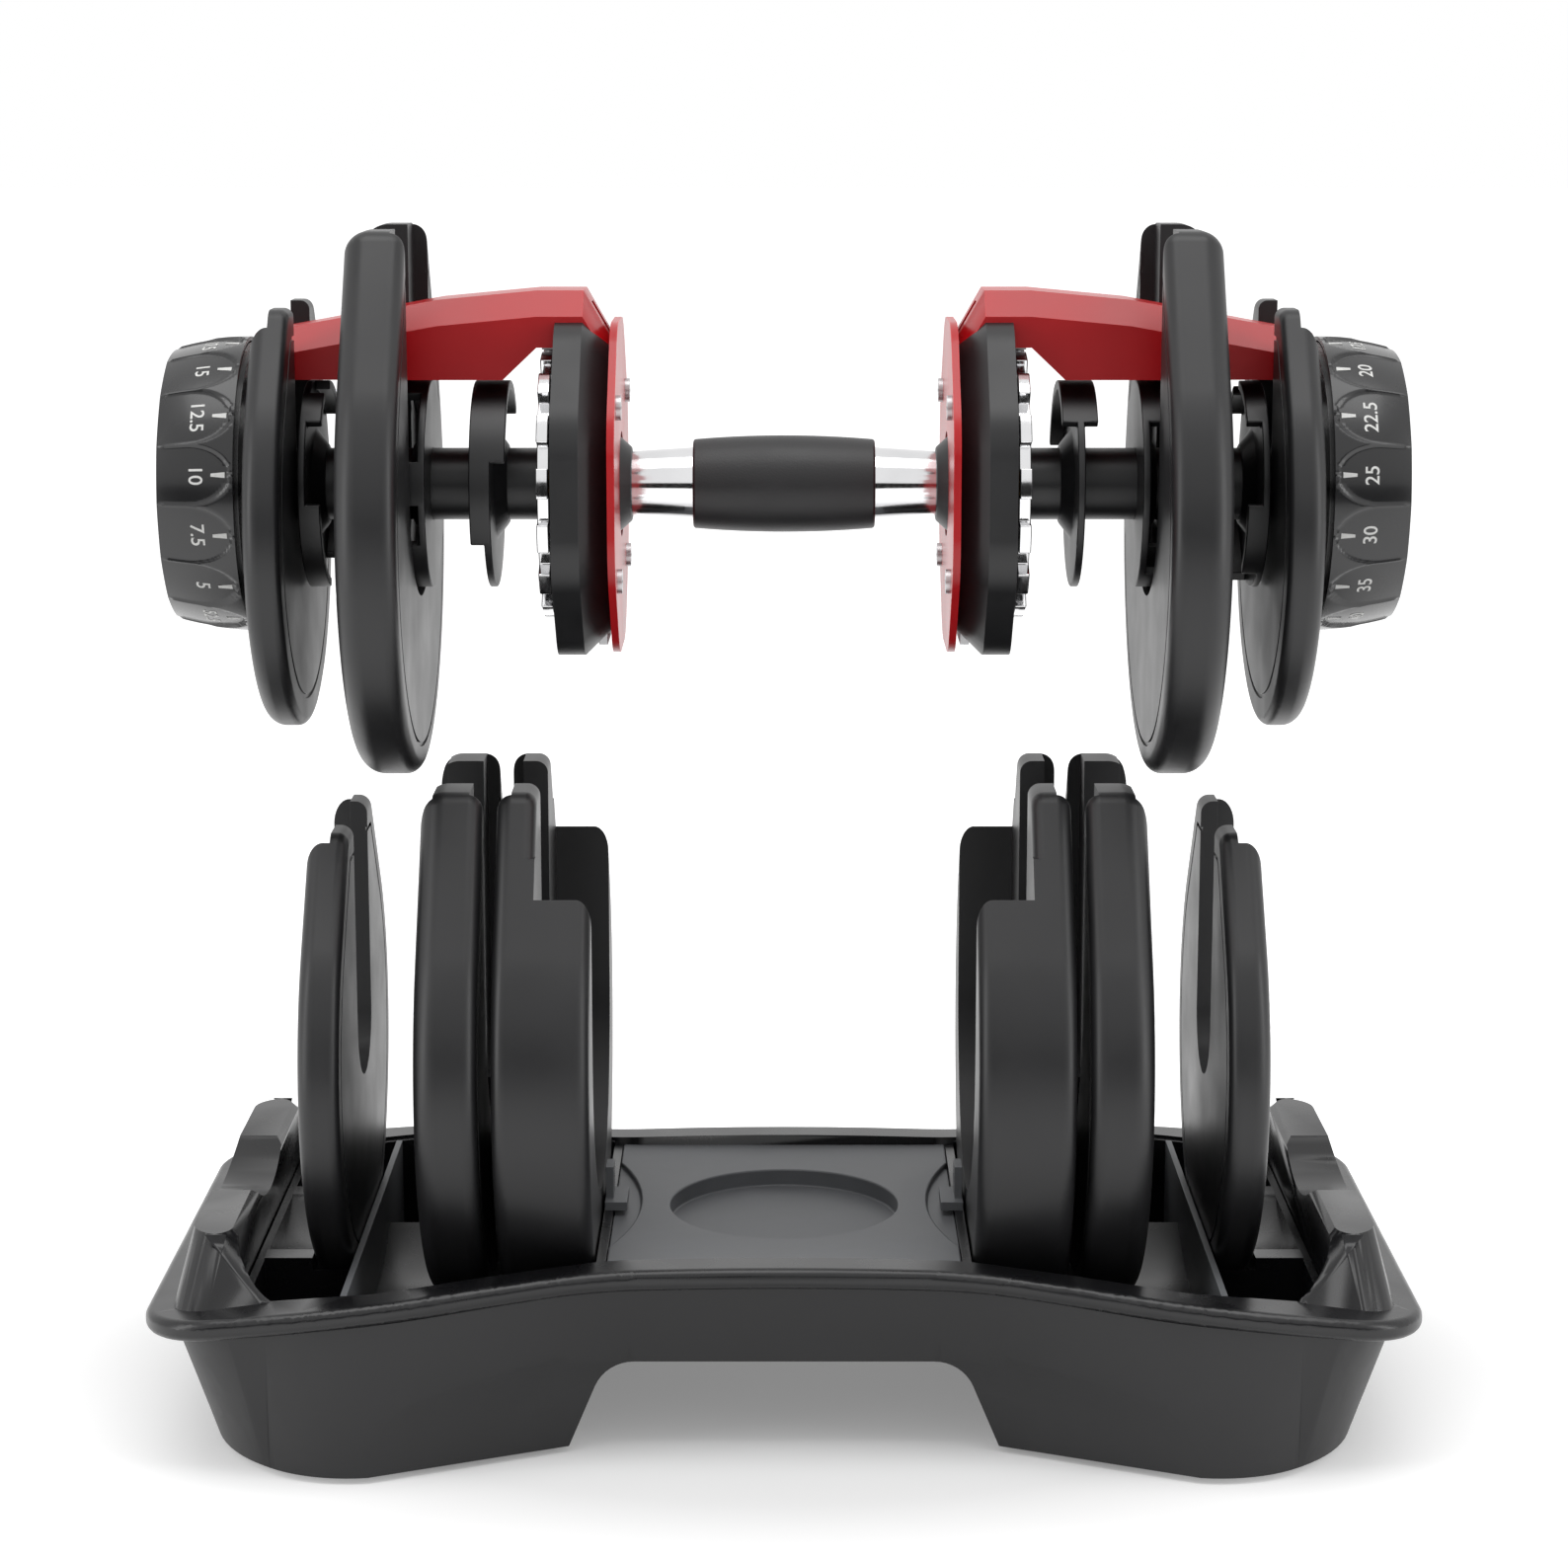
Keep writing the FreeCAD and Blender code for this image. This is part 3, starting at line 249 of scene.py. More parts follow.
def moulded(name, base, rough, grain=2600.0, depth=0.03 * MM, edge_wear_and_highlight=2.2, coat=0.0):
    """Moulded plastic: a fine spark-eroded grain, faint clouds and paler edges that are partly wear
    and partly a painted highlight.
    """
    made = Surface(name)
    clouds = made.noise(38.0, 6.0)
    body = made.mixed(made.ranged(clouds, 0.3, 0.7, 0.0, 1.0), tint(base, 0.86), tint(base, 1.16))
    # Paler edges: partly handling wear, partly a painted highlight along the rounded edges
    shade = made.mixed(made.edges(0.7 * MM), body, tint(base, edge_wear_and_highlight))
    made.join(shade, made.shader, "Base Color")
    made.join(made.ranged(clouds, 0.25, 0.75, rough - 0.05, rough + 0.06), made.shader, "Roughness")
    made.bump(made.noise(grain, 3.0), depth, 0.6)
    made.shader.inputs["Coat Weight"].default_value = coat
    made.shader.inputs["Coat Roughness"].default_value = 0.12
    return made.material


def rubber(name, base):
    """Soft rubber with a pebbled surface."""
    made = Surface(name)
    pebbles = made.cells(1500.0)
    clouds = made.noise(60.0, 5.0)
    body = made.mixed(made.ranged(clouds, 0.3, 0.7, 0.0, 1.0), tint(base, 0.85), tint(base, 1.3))
    made.join(body, made.shader, "Base Color")
    made.join(made.ranged(clouds, 0.25, 0.75, 0.40, 0.52), made.shader, "Roughness")
    made.bump(pebbles, 0.05 * MM, 0.5)
    return made.material


def bright_metal(name, base, rough, lines=(900.0, 12.0, 12.0), depth=0.004 * MM):
    """Turned and plated steel with faint tool lines round the axis."""
    made = Surface(name)
    tool_lines = made.noise(1.0, 3.0, lines)
    stains = made.noise(45.0, 5.0)
    body = made.mixed(made.ranged(stains, 0.3, 0.75, 0.0, 1.0), base, tint(base, 0.88))
    made.join(body, made.shader, "Base Color")
    made.join(made.ranged(tool_lines, 0.2, 0.8, rough, rough * 1.9), made.shader, "Roughness")
    made.bump(tool_lines, depth, 0.5)
    made.shader.inputs["Metallic"].default_value = 1.0
    return made.material


def gloss_red(name, base):
    """Glossy coloured moulding with a slight orange peel and paler edges that are partly wear and
    partly a painted highlight.
    """
    made = Surface(name)
    clouds = made.noise(30.0, 4.0)
    body = made.mixed(made.ranged(clouds, 0.3, 0.7, 0.0, 1.0), tint(base, 0.92), tint(base, 1.08))
    # Paler edges: partly handling wear, partly a painted highlight along the rounded edges
    shade = made.mixed(made.edges(0.8 * MM), body, tint(base, 1.5))
    made.join(shade, made.shader, "Base Color")
    made.join(made.ranged(clouds, 0.25, 0.75, 0.30, 0.38), made.shader, "Roughness")
    made.bump(made.noise(900.0, 2.0), 0.02 * MM, 0.35)
    made.shader.inputs["Coat Weight"].default_value = 0.12
    made.shader.inputs["Coat Roughness"].default_value = 0.10
    return made.material


def printed_paint(name, base):
    """Pad-printed ink, a little thin in places."""
    made = Surface(name)
    thin = made.ranged(made.noise(1400.0, 4.0), 0.55, 0.75, 0.0, 0.35)
    made.join(made.mixed(thin, base, tint(base, 0.55)), made.shader, "Base Color")
    made.join(made.ranged(thin, 0.0, 0.35, 0.5, 0.7), made.shader, "Roughness")
    return made.material


def make_finishes(finish):
    """One material for each of the record's slots, and the paint."""
    return {
        "grip_rubber": rubber("grip_rubber", tuple(finish.rubber)),
        "foot_rubber": rubber("foot_rubber", tuple(finish.rubber)),
        "chrome_plate": bright_metal("chrome_plate", tuple(finish.steel), 0.07),
        "zinc_steel": bright_metal("zinc_steel", tint(finish.steel, 0.75), 0.25, (60.0,) * 3),
        "plate_core_steel": bright_metal("plate_core_steel", tint(finish.steel, 0.5), 0.4),
        "bronze": bright_metal("bronze", (0.55, 0.33, 0.14), 0.28),
        "black_nylon": moulded("black_nylon", tuple(finish.nylon), 0.40),
        "red_gloss": gloss_red("red_gloss", tuple(finish.red)),
        "dial_black": moulded("dial_black", tuple(finish.dial), 0.26, depth=0.01 * MM, coat=0.3),
        "plate_cover_black": moulded("plate_cover_black", tuple(finish.plate), 0.40,
                                     depth=0.02 * MM),
        "tray_charcoal": moulded("tray_charcoal", tuple(finish.skirt), 0.45, 2200.0),
        "tray_black": moulded("tray_black", tuple(finish.lip), 0.27, depth=0.015 * MM),
        # The deck's edges are paled less: partly wear, partly a painted highlight
        "tray_grey": moulded("tray_grey", tuple(finish.deck), 0.50, 1800.0, edge_wear_and_highlight=1.3),
        "number_paint": printed_paint("number_paint", tuple(finish.paint)),
    }


FINISHES = {}


# ---- Pieces ----

def body_of(node):
    return NODES[node]["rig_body"]


def add_piece(name, mesh, body, slot, material=None):
    """Put a finished mesh in the scene, on its body, with its slot's finish or the given one."""
    mesh.name = name
    mesh.materials.clear()
    mesh.materials.append(FINISHES[material or slot])
    piece = bpy.data.objects.new(name, mesh)
    bpy.context.scene.collection.objects.link(piece)
    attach(piece, body)
    return piece


def merged_copy(node):
    """A node's mesh with its triangles joined and its flat faces made whole."""
    shape = bmesh.new()
    shape.from_mesh(NODES[node].data)
    bmesh.ops.remove_doubles(shape, verts=shape.verts, dist=MERGE_DISTANCE)
    bmesh.ops.dissolve_limit(shape, angle_limit=FLAT_ANGLE, verts=shape.verts, edges=shape.edges)
    for face in shape.faces:
        face.smooth = True
    mesh = bpy.data.meshes.new(node + "_finished")
    shape.to_mesh(mesh)
    shape.free()
    return mesh


def softened(node, width):
    """A node's piece with its sharp edges rounded, shown in the node's place."""
    piece = add_piece(node + "_finished", merged_copy(node), body_of(node), SLOT_OF[node])
    bevel = piece.modifiers.new("edge_round", "BEVEL")
    bevel.width = width
    bevel.segments = 2
    bevel.limit_method = "ANGLE"
    bevel.angle_limit = SHARP_ANGLE
    bevel.use_clamp_overlap = True
    weighted = piece.modifiers.new("even_shading", "WEIGHTED_NORMAL")
    weighted.mode = "FACE_AREA"
    weighted.weight = 50
    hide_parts(node)
    return piece


def paint_nodes():
    """Give every carried-over node the finish of its slot."""
    for name, node in NODES.items():
        node.data.materials.clear()
        node.data.materials.append(FINISHES[SLOT_OF[name]])


# ---- Dials ----

BAR_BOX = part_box("handle_bar")
HEAD_AXIS_Z = (BAR_BOX[0].z + BAR_BOX[1].z) / 2
BAND_LENGTH = 25.0 * MM
BAND_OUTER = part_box("right_dial_ring")[1].x
BAND_INNER = BAND_OUTER - BAND_LENGTH
BAND_RADII = (47.0 * MM, 46.6 * MM, 43.5 * MM)
BAND_MIDDLE = 0.38                  # where along the band the middle radius lies
PETAL_TIP = 0.04                    # along the band, from its inner end
PETAL_FULL = 0.62
MARK_START = 2.6 * MM               # from the band's inner end
BAND_CLEAR = 0.04 * MM


def plain_radius(along):
    """The smooth band's radius, a parabola through its three radii."""
    start, middle, end = BAND_RADII
    return (start * (along - BAND_MIDDLE) * (along - 1.0) / BAND_MIDDLE
            + middle * along * (along - 1.0) / (BAND_MIDDLE * (BAND_MIDDLE - 1.0))
            + end * along * (along - BAND_MIDDLE) / (1.0 - BAND_MIDDLE))


def smooth_step(value):
    value = min(max(value, 0.0), 1.0)
    return value * value * (3.0 - 2.0 * value)


def ridge(along, turn):
    """0 on a petal's face and 1 on the ridge beside it; turn is from a petal's middle."""
    across = abs(turn) / (SETTING_STEP / 2)
    rise = (along - PETAL_TIP) / (PETAL_FULL - PETAL_TIP)
    if rise <= 0.0:
        width = 0.0
    else:
        width = 0.96 * math.sqrt(1.0 - (1.0 - min(rise, 1.0)) ** 2)
    outside = smooth_step((across - width + 0.03) / 0.10)
    foot = smooth_step((0.97 - along) / 0.05)
    return outside * foot


def petal_turn(elevation):
    """How far an elevation is from the nearest petal's middle."""
    steps = (elevation - FRONT_LEAN) / SETTING_STEP
    return (steps - round(steps)) * SETTING_STEP


def band_surface(along, elevation, relief):
    """Radius of the moulded band, with petals dished between their ridges."""
    turn = petal_turn(elevation)
    dish = 0.28 * relief * (1.0 - (turn / (SETTING_STEP / 2)) ** 2)
    raised = ridge(along, turn)
    return plain_radius(along) + BAND_CLEAR + raised * relief + (1.0 - raised) * (0.3 * relief - dish)


def around(side, along, elevation, radius):
    """A point of a dial from its place along the band, elevation and radius."""
    x = SIDES[side] * (BAND_INNER + along * BAND_LENGTH)
    return Vector((x, -radius * math.cos(elevation), HEAD_AXIS_Z + radius * math.sin(elevation)))


def petal_band(side, relief):
    """The band's outer skin with its fifteen petals, closed underneath."""
    turns = 36 * len(SETTINGS_LB)
    rows = 26
    shape = bmesh.new()
    rings = []
    for row in range(rows + 1):
        along = row / rows
        ring = []
        for step in range(turns):
            elevation = math.tau * step / turns
            ring.append(shape.verts.new(around(side, along, elevation,
                                               band_surface(along, elevation, relief))))
        rings.append(ring)
    for along in (1.0, 0.0):
        radius = plain_radius(along) - 0.6 * MM
        rings.append([shape.verts.new(around(side, along, math.tau * step / turns, radius))
                      for step in range(turns)])
    for first, second in zip(rings, rings[1:] + rings[:1]):
        for step in range(turns):
            following = (step + 1) % turns
            shape.faces.new((first[step], first[following], second[following], second[step]))
    bmesh.ops.recalc_face_normals(shape, faces=shape.faces)
    for face in shape.faces:
        face.smooth = True
    mesh = bpy.data.meshes.new("band")
    shape.to_mesh(mesh)
    shape.free()
    mesh.set_sharp_from_angle(angle=math.radians(50.0))
    return mesh


def number_elevation(side, index):
    shown = SETTINGS_LB.index(FRONT_NUMBER[side])
    steps = index - shown if side == "left" else shown - index
    return FRONT_LEAN + steps * SETTING_STEP


def flat_number(text, size):
    """A number as a thin flat mesh, split finely enough to bend."""
    curve = bpy.data.curves.new("number", "FONT")
    curve.body = text
    curve.size = size
    curve.align_x = "CENTER"
    curve.align_y = "CENTER"
    curve.extrude = 0.05 * MM
    curve.offset = 0.05 * MM
    writing = bpy.data.objects.new("number", curve)
    bpy.context.scene.collection.objects.link(writing)
    bpy.context.view_layer.update()
    mesh = bpy.data.meshes.new_from_object(
        writing.evaluated_get(bpy.context.evaluated_depsgraph_get()))
    bpy.data.objects.remove(writing)
    shape = bmesh.new()
    shape.from_mesh(mesh)
    bmesh.ops.remove_doubles(shape, verts=shape.verts, dist=0.001 * MM)
    bmesh.ops.triangulate(shape, faces=shape.faces)
    for _ in range(4):
        long_edges = [edge for edge in shape.edges if edge.calc_length() > 1.0 * MM]
        if not long_edges:
            break
        bmesh.ops.subdivide_edges(shape, edges=long_edges, cuts=1, use_grid_fill=True)
        bmesh.ops.triangulate(shape, faces=shape.faces)
    return shape


def dial_numbers(side, size, relief):
    """All fifteen numbers, bent round the dial and joined into one mesh."""
    middle = 0.49
    joined = bmesh.new()
    for index, text in enumerate(SETTINGS_LB):
        shape = flat_number(text, size)
        elevation = number_elevation(side, index)
        radius = plain_radius(middle)
        for vertex in shape.verts:
            across, up, depth = vertex.co
            along = middle - up / BAND_LENGTH
            turn = elevation + SIDES[side] * across / radius
            height = band_surface(along, turn, relief) + 0.05 * MM + depth
            vertex.co = around(side, along, turn, height)
        mesh = bpy.data.meshes.new("number")
        shape.to_mesh(mesh)
        shape.free()
        joined.from_mesh(mesh)
        bpy.data.meshes.remove(mesh)
    bmesh.ops.recalc_face_normals(joined, faces=joined.faces)
    mesh = bpy.data.meshes.new("numbers")
    joined.to_mesh(mesh)
    joined.free()
    return mesh


# ---- Repeated pieces, made with Geometry Nodes ----

def repeat_tree(name, inputs):
    """An empty tree with named inputs; returns it with its ends and a joiner."""
    tree = bpy.data.node_groups.new(name, "GeometryNodeTree")
    tree.interface.new_socket("Geometry", in_out="INPUT", socket_type="NodeSocketGeometry")
    tree.interface.new_socket("Geometry", in_out="OUTPUT", socket_type="NodeSocketGeometry")
    for label, kind in inputs:
        tree.interface.new_socket(label, in_out="INPUT", socket_type=kind)
    start = tree.nodes.new("NodeGroupInput")
    end = tree.nodes.new("NodeGroupOutput")
    return tree, start, end


def ring_of_lugs():
    """Tapered lugs set round a ring about X: marks, rivets and knurls."""
    tree, start, end = repeat_tree("ring_of_lugs", (
        ("Count", "NodeSocketInt"), ("Radius", "NodeSocketFloat"),
        ("Centre", "NodeSocketVector"), ("First Turn", "NodeSocketFloat"),
        ("Lug Length", "NodeSocketFloat"), ("Lug Start", "NodeSocketFloat"),
        ("Lug End", "NodeSocketFloat"), ("Sides", "NodeSocketInt"),
        ("Thinning", "NodeSocketVector"), ("Tilt", "NodeSocketVector"),
        ("Finish", "NodeSocketMaterial")))
    nodes, links = tree.nodes, tree.links
    circle = nodes.new("GeometryNodeMeshCircle")
    links.new(start.outputs["Count"], circle.inputs["Vertices"])
    links.new(start.outputs["Radius"], circle.inputs["Radius"])
    lug = nodes.new("GeometryNodeMeshCone")
    for source, target in (("Lug Length", "Depth"), ("Lug Start", "Radius Bottom"),
                           ("Lug End", "Radius Top"), ("Sides", "Vertices")):
        links.new(start.outputs[source], lug.inputs[target])
    thin = nodes.new("GeometryNodeTransform")
    links.new(lug.outputs["Mesh"], thin.inputs["Geometry"])
    links.new(start.outputs["Tilt"], thin.inputs["Rotation"])
    flat = nodes.new("GeometryNodeTransform")
    links.new(thin.outputs["Geometry"], flat.inputs["Geometry"])
    links.new(start.outputs["Thinning"], flat.inputs["Scale"])
    place = nodes.new("GeometryNodeInputPosition")
    face_out = nodes.new("FunctionNodeAlignEulerToVector")
    face_out.axis = "X"
    face_out.pivot_axis = "Z"
    links.new(place.outputs["Position"], face_out.inputs["Vector"])
    spread = nodes.new("GeometryNodeInstanceOnPoints")
    links.new(circle.outputs["Mesh"], spread.inputs["Points"])
    links.new(flat.outputs["Geometry"], spread.inputs["Instance"])
    links.new(face_out.outputs["Rotation"], spread.inputs["Rotation"])
    turn = nodes.new("ShaderNodeCombineXYZ")
    links.new(start.outputs["First Turn"], turn.inputs["Z"])
    spun = nodes.new("GeometryNodeTransform")
    links.new(spread.outputs["Instances"], spun.inputs["Geometry"])
    links.new(turn.outputs["Vector"], spun.inputs["Rotation"])
    upright = nodes.new("GeometryNodeTransform")
    upright.inputs["Rotation"].default_value = (0.0, math.radians(90.0), 0.0)
    links.new(spun.outputs["Geometry"], upright.inputs["Geometry"])
    links.new(start.outputs["Centre"], upright.inputs["Translation"])
    solid = nodes.new("GeometryNodeRealizeInstances")
    links.new(upright.outputs["Geometry"], solid.inputs["Geometry"])
    finish = nodes.new("GeometryNodeSetMaterial")
    links.new(solid.outputs["Geometry"], finish.inputs["Geometry"])
    links.new(start.outputs["Finish"], finish.inputs["Material"])
    links.new(finish.outputs["Geometry"], end.inputs["Geometry"])
    return tree


def grown(tree, values):
    """Run a tree with its inputs set, and return the result as a plain mesh."""
    carrier = bpy.data.objects.new("carrier", bpy.data.meshes.new("carrier"))
    bpy.context.scene.collection.objects.link(carrier)
    modifier = carrier.modifiers.new("repeat", "NODES")
    modifier.node_group = tree
    sockets = {item.name: item.identifier for item in tree.interface.items_tree
               if item.item_type == "SOCKET" and item.in_out == "INPUT"}
    for label, value in values.items():
        modifier[sockets[label]] = value
    bpy.context.view_layer.update()
    graph = bpy.context.evaluated_depsgraph_get()
    mesh = bpy.data.meshes.new_from_object(carrier.evaluated_get(graph))
    carrier.modifiers.remove(modifier)
    bpy.data.objects.remove(carrier)
    if not mesh.vertices:
        raise RuntimeError("the repeated pieces came out empty")
    return mesh


# ---- Operators ----

class DUMBBELL_OT_finishes(bpy.types.Operator):
    """Make the finishes and paint the carried-over nodes"""
    bl_idname = "dumbbell.finishes"
    bl_label = "Finishes"

    def execute(self, context):
        FINISHES.update(make_finishes(context.scene.dumbbell_finish))
        paint_nodes()
        return {"FINISHED"}


class DUMBBELL_OT_handle(bpy.types.Operator):
    """Grip, bar, collars, housings and arm covers"""
    bl_idname = "dumbbell.handle"
    bl_label = "Handle"

    def execute(self, context):
        width = context.scene.dumbbell_detail.edge
        softened("handle_bar", width)
        softened("grip_sleeve", width)
        for side in SIDES:
            softened(side + "_hub_collar", width)
            softened(side + "_housing", 1.8 * width)
            softened(side + "_arm_cover", 1.4 * width)
            softened(side + "_lock_slide", width / 2)
        return {"FINISHED"}


class DUMBBELL_OT_selectors(bpy.types.Operator):
    """Spindles, discs and notched index wheels"""
    bl_idname = "dumbbell.selectors"
    bl_label = "Selectors"

    def execute(self, context):
        width = context.scene.dumbbell_detail.edge
        for side in SIDES:
            softened(side + "_index_wheel", width)
            for piece in ("spindle_tube", "disc_a", "disc_b", "disc_c", "dial_cap"):
                softened(side + "_" + piece, width)
        return {"FINISHED"}


class DUMBBELL_OT_dials(bpy.types.Operator):
    """Petalled dial bands with their numbers and marks"""
    bl_idname = "dumbbell.dials"
    bl_label = "Dials"

    def execute(self, context):
        detail = context.scene.dumbbell_detail
        tree = ring_of_lugs()
        for side, sign in SIDES.items():
            body = body_of(side + "_dial_ring")
            add_piece(side + "_petal_band", petal_band(side, detail.petal), body, "dial_black")
            numbers = dial_numbers(side, detail.digit, detail.petal)
            add_piece(side + "_numbers", numbers, body, "dial_black", "number_paint")
            ends = (BAND_INNER + MARK_START, BAND_INNER + MARK_START + detail.tick)
            middle = (MARK_START + detail.tick / 2) / BAND_LENGTH
            widths = (1.3 * MM, 0.7 * MM)
            if side == "left":
                ends, widths = ends[::-1], widths[::-1]
            marks = grown(tree, {
                "Count": len(SETTINGS_LB),
                "Radius": band_surface(middle, FRONT_LEAN, detail.petal) + 0.05 * MM,
                "Centre": (sign * ends[0], 0.0, HEAD_AXIS_Z),
                "First Turn": math.radians(90.0) - FRONT_LEAN + SETTING_STEP / 2,
                "Lug Length": detail.tick, "Lug Start": widths[0], "Lug End": widths[1],
                "Sides": 4, "Thinning": (0.12, 1.0, 1.0),
                "Tilt": (0.0, 0.0, math.radians(45.0)), "Finish": FINISHES["number_paint"]})
            add_piece(side + "_marks", marks, body, "dial_black", "number_paint")
        return {"FINISHED"}


class DUMBBELL_OT_plates(bpy.types.Operator):
    """Moulded covers of the weight plates"""
    bl_idname = "dumbbell.plates"
    bl_label = "Plates"

    def execute(self, context):
        width = context.scene.dumbbell_detail.edge
        for side in SIDES:
            for number in range(1, 6):
                softened("%s_plate_%d_cover" % (side, number), 1.2 * width)
        return {"FINISHED"}


class DUMBBELL_OT_tray(bpy.types.Operator):
    """Skirt, lip, deck, wells, dividers and posts of the tray"""
    bl_idname = "dumbbell.tray"
    bl_label = "Tray"

    def execute(self, context):
        width = context.scene.dumbbell_detail.edge
        for node in ("tray_base", "tray_rim", "tray_deck", "left_well", "right_well"):
            softened(node, 1.6 * width)
        for node in ("tray_dividers", "release_posts", "rubber_feet"):
            softened(node, width / 2)
        return {"FINISHED"}


def soft_lamp(name, place, aim, size, power):
    lamp = bpy.data.lights.new(name, "AREA")
    lamp.shape = "RECTANGLE"
    lamp.size, lamp.size_y = size
    lamp.energy = power
    holder = bpy.data.objects.new(name, lamp)
    holder.location = place
    holder.rotation_euler = (Vector(aim) - Vector(place)).to_track_quat("-Z", "Y").to_euler()
    holder.visible_camera = False
    bpy.context.scene.collection.objects.link(holder)
    return holder


def seen_factor(tree):
    """1 for what the camera, a mirror or a glass sees of the background."""
    path = tree.nodes.new("ShaderNodeLightPath")
    total = None
    for name in ("Is Camera Ray", "Is Glossy Ray", "Is Transmission Ray"):
        if total is None:
            total = path.outputs[name]
            continue
        larger = tree.nodes.new("ShaderNodeMath")
        larger.operation = "MAXIMUM"
        tree.links.new(total, larger.inputs[0])
        tree.links.new(path.outputs[name], larger.inputs[1])
        total = larger.outputs["Value"]
    return total


def make_world(fill):
    world = bpy.data.worlds.new("studio")
    world.use_nodes = True
    tree = world.node_tree
    background = tree.nodes["Background"]
    shade = tree.nodes.new("ShaderNodeMapRange")
    shade.inputs["To Min"].default_value = fill
    shade.inputs["To Max"].default_value = 1.0
    tree.links.new(seen_factor(tree), shade.inputs["Value"])
    background.inputs["Color"].default_value = (1.0, 1.0, 1.0, 1.0)
    tree.links.new(shade.outputs["Result"], background.inputs["Strength"])
    bpy.context.scene.world = world


def floor_material():
    """White paper that glows to camera and mirror rays, less near the tray: the glow paints shade
    round the tray over its real soft shadow, and is plain white further off.
    """
    made = Surface("studio_paper")
    made.shader.inputs["Roughness"].default_value = 0.9
    made.shader.inputs["Specular IOR Level"].default_value = 0.0
    fibre = made.noise(900.0, 3.0)
    paper = made.mixed(made.ranged(fibre, 0.3, 0.7, 0.0, 1.0), (0.80,) * 3, (0.82,) * 3)
    made.join(paper, made.shader, "Base Color")
    reach = made.nodes.new("ShaderNodeVectorMath")
    reach.operation = "LENGTH"
    mapping = made.scaled_place((1.0, 1.35, 1.0))
    made.links.new(mapping, reach.inputs[0])
    # Painted shade: the floor's glow is weaker near the tray, darkening the floor round it
    glow = made.ranged(reach.outputs["Value"], 0.16, 0.36, 0.22, 0.85)
    seen = seen_factor(made.material.node_tree)
    made.join(made.product(glow, seen), made.shader, "Emission Strength")
    made.shader.inputs["Emission Color"].default_value = (1.0, 1.0, 1.0, 1.0)
    return made.material


def make_floor():
    shape = bmesh.new()
    half = 14.0
    corners = [shape.verts.new((x * half, y * half, 0.0)) for x, y in
               ((-1, -1), (1, -1), (1, 1), (-1, 1))]
    shape.faces.new(corners)
    mesh = bpy.data.meshes.new("studio_floor")
    shape.to_mesh(mesh)
    shape.free()
    mesh.materials.append(floor_material())
    floor = bpy.data.objects.new("studio_floor", mesh)
    floor.location.z = CAD_BOX[0].z - 0.05 * MM
    bpy.context.scene.collection.objects.link(floor)


def dark_flag(name, place, size):
    """A black card that only reflections see, to draw the metal's dark bands."""
    shape = bmesh.new()
    width, height = size
    corners = [shape.verts.new((place[0] + x * width / 2, place[1], place[2] + z * height / 2))
               for x, z in ((-1, -1), (1, -1), (1, 1), (-1, 1))]
    shape.faces.new(corners)
    mesh = bpy.data.meshes.new(name)
    shape.to_mesh(mesh)
    shape.free()
    cloth = Surface("flag_cloth")
    weave = cloth.ranged(cloth.noise(400.0), 0.3, 0.7, 0.004, 0.012)
    cloth.join(weave, cloth.shader, "Base Color")
    cloth.shader.inputs["Roughness"].default_value = 1.0
    mesh.materials.append(cloth.material)
    card = bpy.data.objects.new(name, mesh)
    bpy.context.scene.collection.objects.link(card)
    for ray in ("visible_camera", "visible_diffuse", "visible_shadow", "visible_transmission"):
        setattr(card, ray, False)


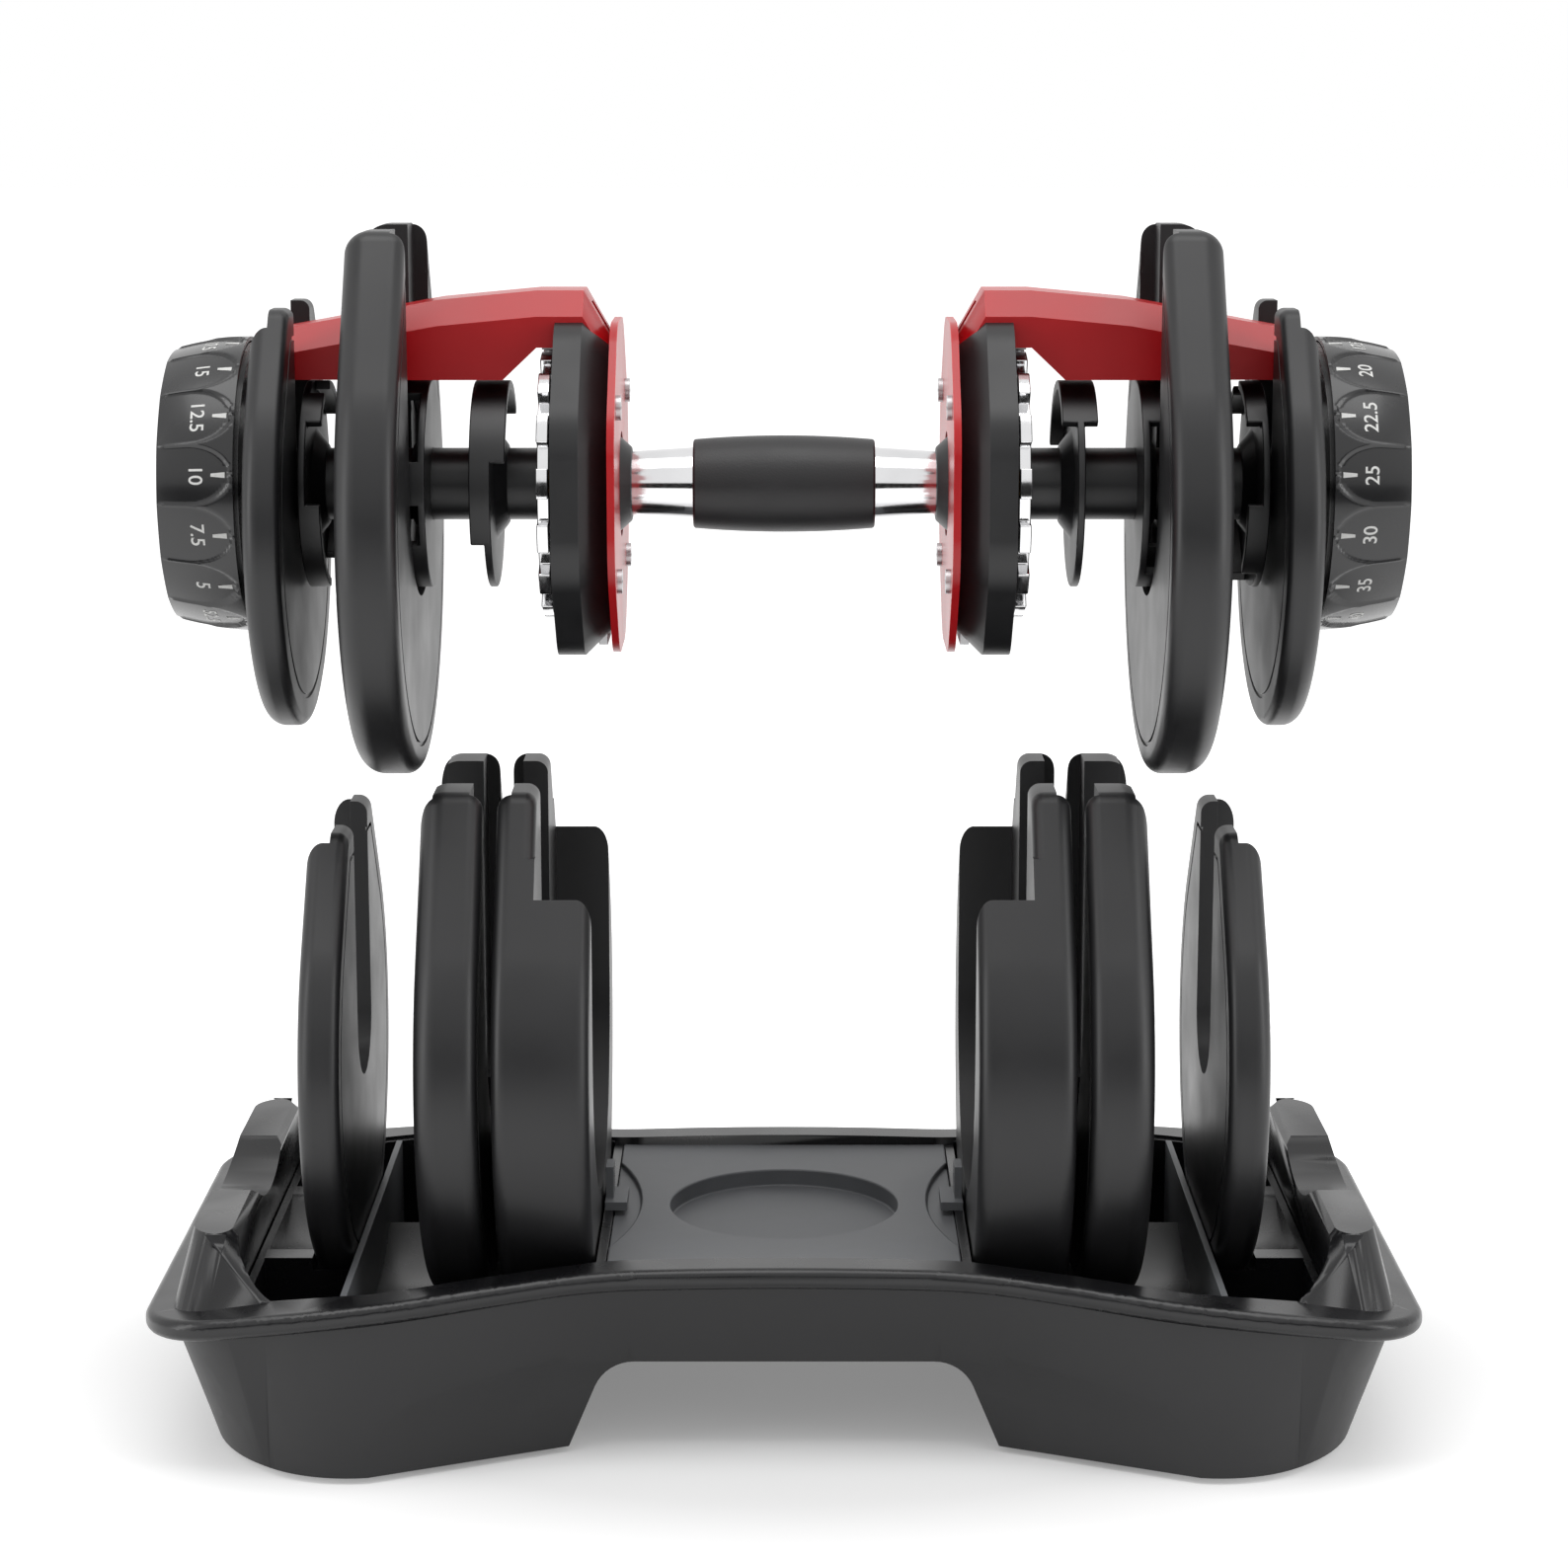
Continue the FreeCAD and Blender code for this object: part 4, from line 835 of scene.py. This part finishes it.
class DUMBBELL_OT_studio(bpy.types.Operator):
    """Floor, lamps and camera"""
    bl_idname = "dumbbell.studio"
    bl_label = "Studio"

    def execute(self, context):
        studio = context.scene.dumbbell_studio
        make_world(0.42)
        make_floor()
        centre = (0.0, 0.0, HEAD_AXIS_Z * 0.6)
        soft_lamp("overhead", (0.0, -0.25, 1.75), centre, (1.8, 1.0), studio.key_power)
        for name, sign in SIDES.items():
            soft_lamp(name + "_strip", (sign * 1.35, -0.55, 0.55), centre, (0.35, 1.3), 5.0)
        dark_flag("front_flag", (0.0, -1.45, HEAD_AXIS_Z - 0.02), (3.0, 0.42))
        camera = bpy.data.cameras.new("camera")
        camera.lens = studio.lens
        camera.sensor_width = 36.0
        camera.clip_start = 0.05
        camera.clip_end = 60.0
        holder = bpy.data.objects.new("camera", camera)
        holder.location = (0.0, -studio.distance, studio.height)
        holder.rotation_euler = (math.radians(90.0) - studio.pitch, 0.0, 0.0)
        context.scene.collection.objects.link(holder)
        context.scene.camera = holder
        context.scene.view_settings.view_transform = "Standard"
        return {"FINISHED"}


class DUMBBELL_PT_panel(bpy.types.Panel):
    """Lists the steps and their settings"""
    bl_idname = "DUMBBELL_PT_panel"
    bl_label = "Dumbbell"
    bl_space_type = "VIEW_3D"
    bl_region_type = "UI"
    bl_category = "Dumbbell"

    def draw(self, context):
        scene = context.scene
        for group in (scene.dumbbell_finish, scene.dumbbell_detail, scene.dumbbell_studio):
            box = self.layout.box()
            for name in group.__annotations__:
                box.prop(group, name)
        for step in STEPS:
            self.layout.operator(step.bl_idname)


GROUPS = {"dumbbell_finish": DumbbellFinish, "dumbbell_detail": DumbbellDetail,
          "dumbbell_studio": DumbbellStudio}
STEPS = (DUMBBELL_OT_finishes, DUMBBELL_OT_handle, DUMBBELL_OT_selectors, DUMBBELL_OT_dials,
         DUMBBELL_OT_plates, DUMBBELL_OT_tray, DUMBBELL_OT_studio)


def register():
    for kind in (*GROUPS.values(), *STEPS, DUMBBELL_PT_panel):
        bpy.utils.register_class(kind)
    for name, group in GROUPS.items():
        setattr(bpy.types.Scene, name, bpy.props.PointerProperty(type=group))


def unregister():
    for name in GROUPS:
        delattr(bpy.types.Scene, name)
    for kind in (DUMBBELL_PT_panel, *reversed(STEPS), *reversed(GROUPS.values())):
        bpy.utils.unregister_class(kind)


def main():
    register()
    for step in STEPS:
        group, name = step.bl_idname.split(".")
        getattr(getattr(bpy.ops, group), name)()


if __name__ == "__main__":
    main()
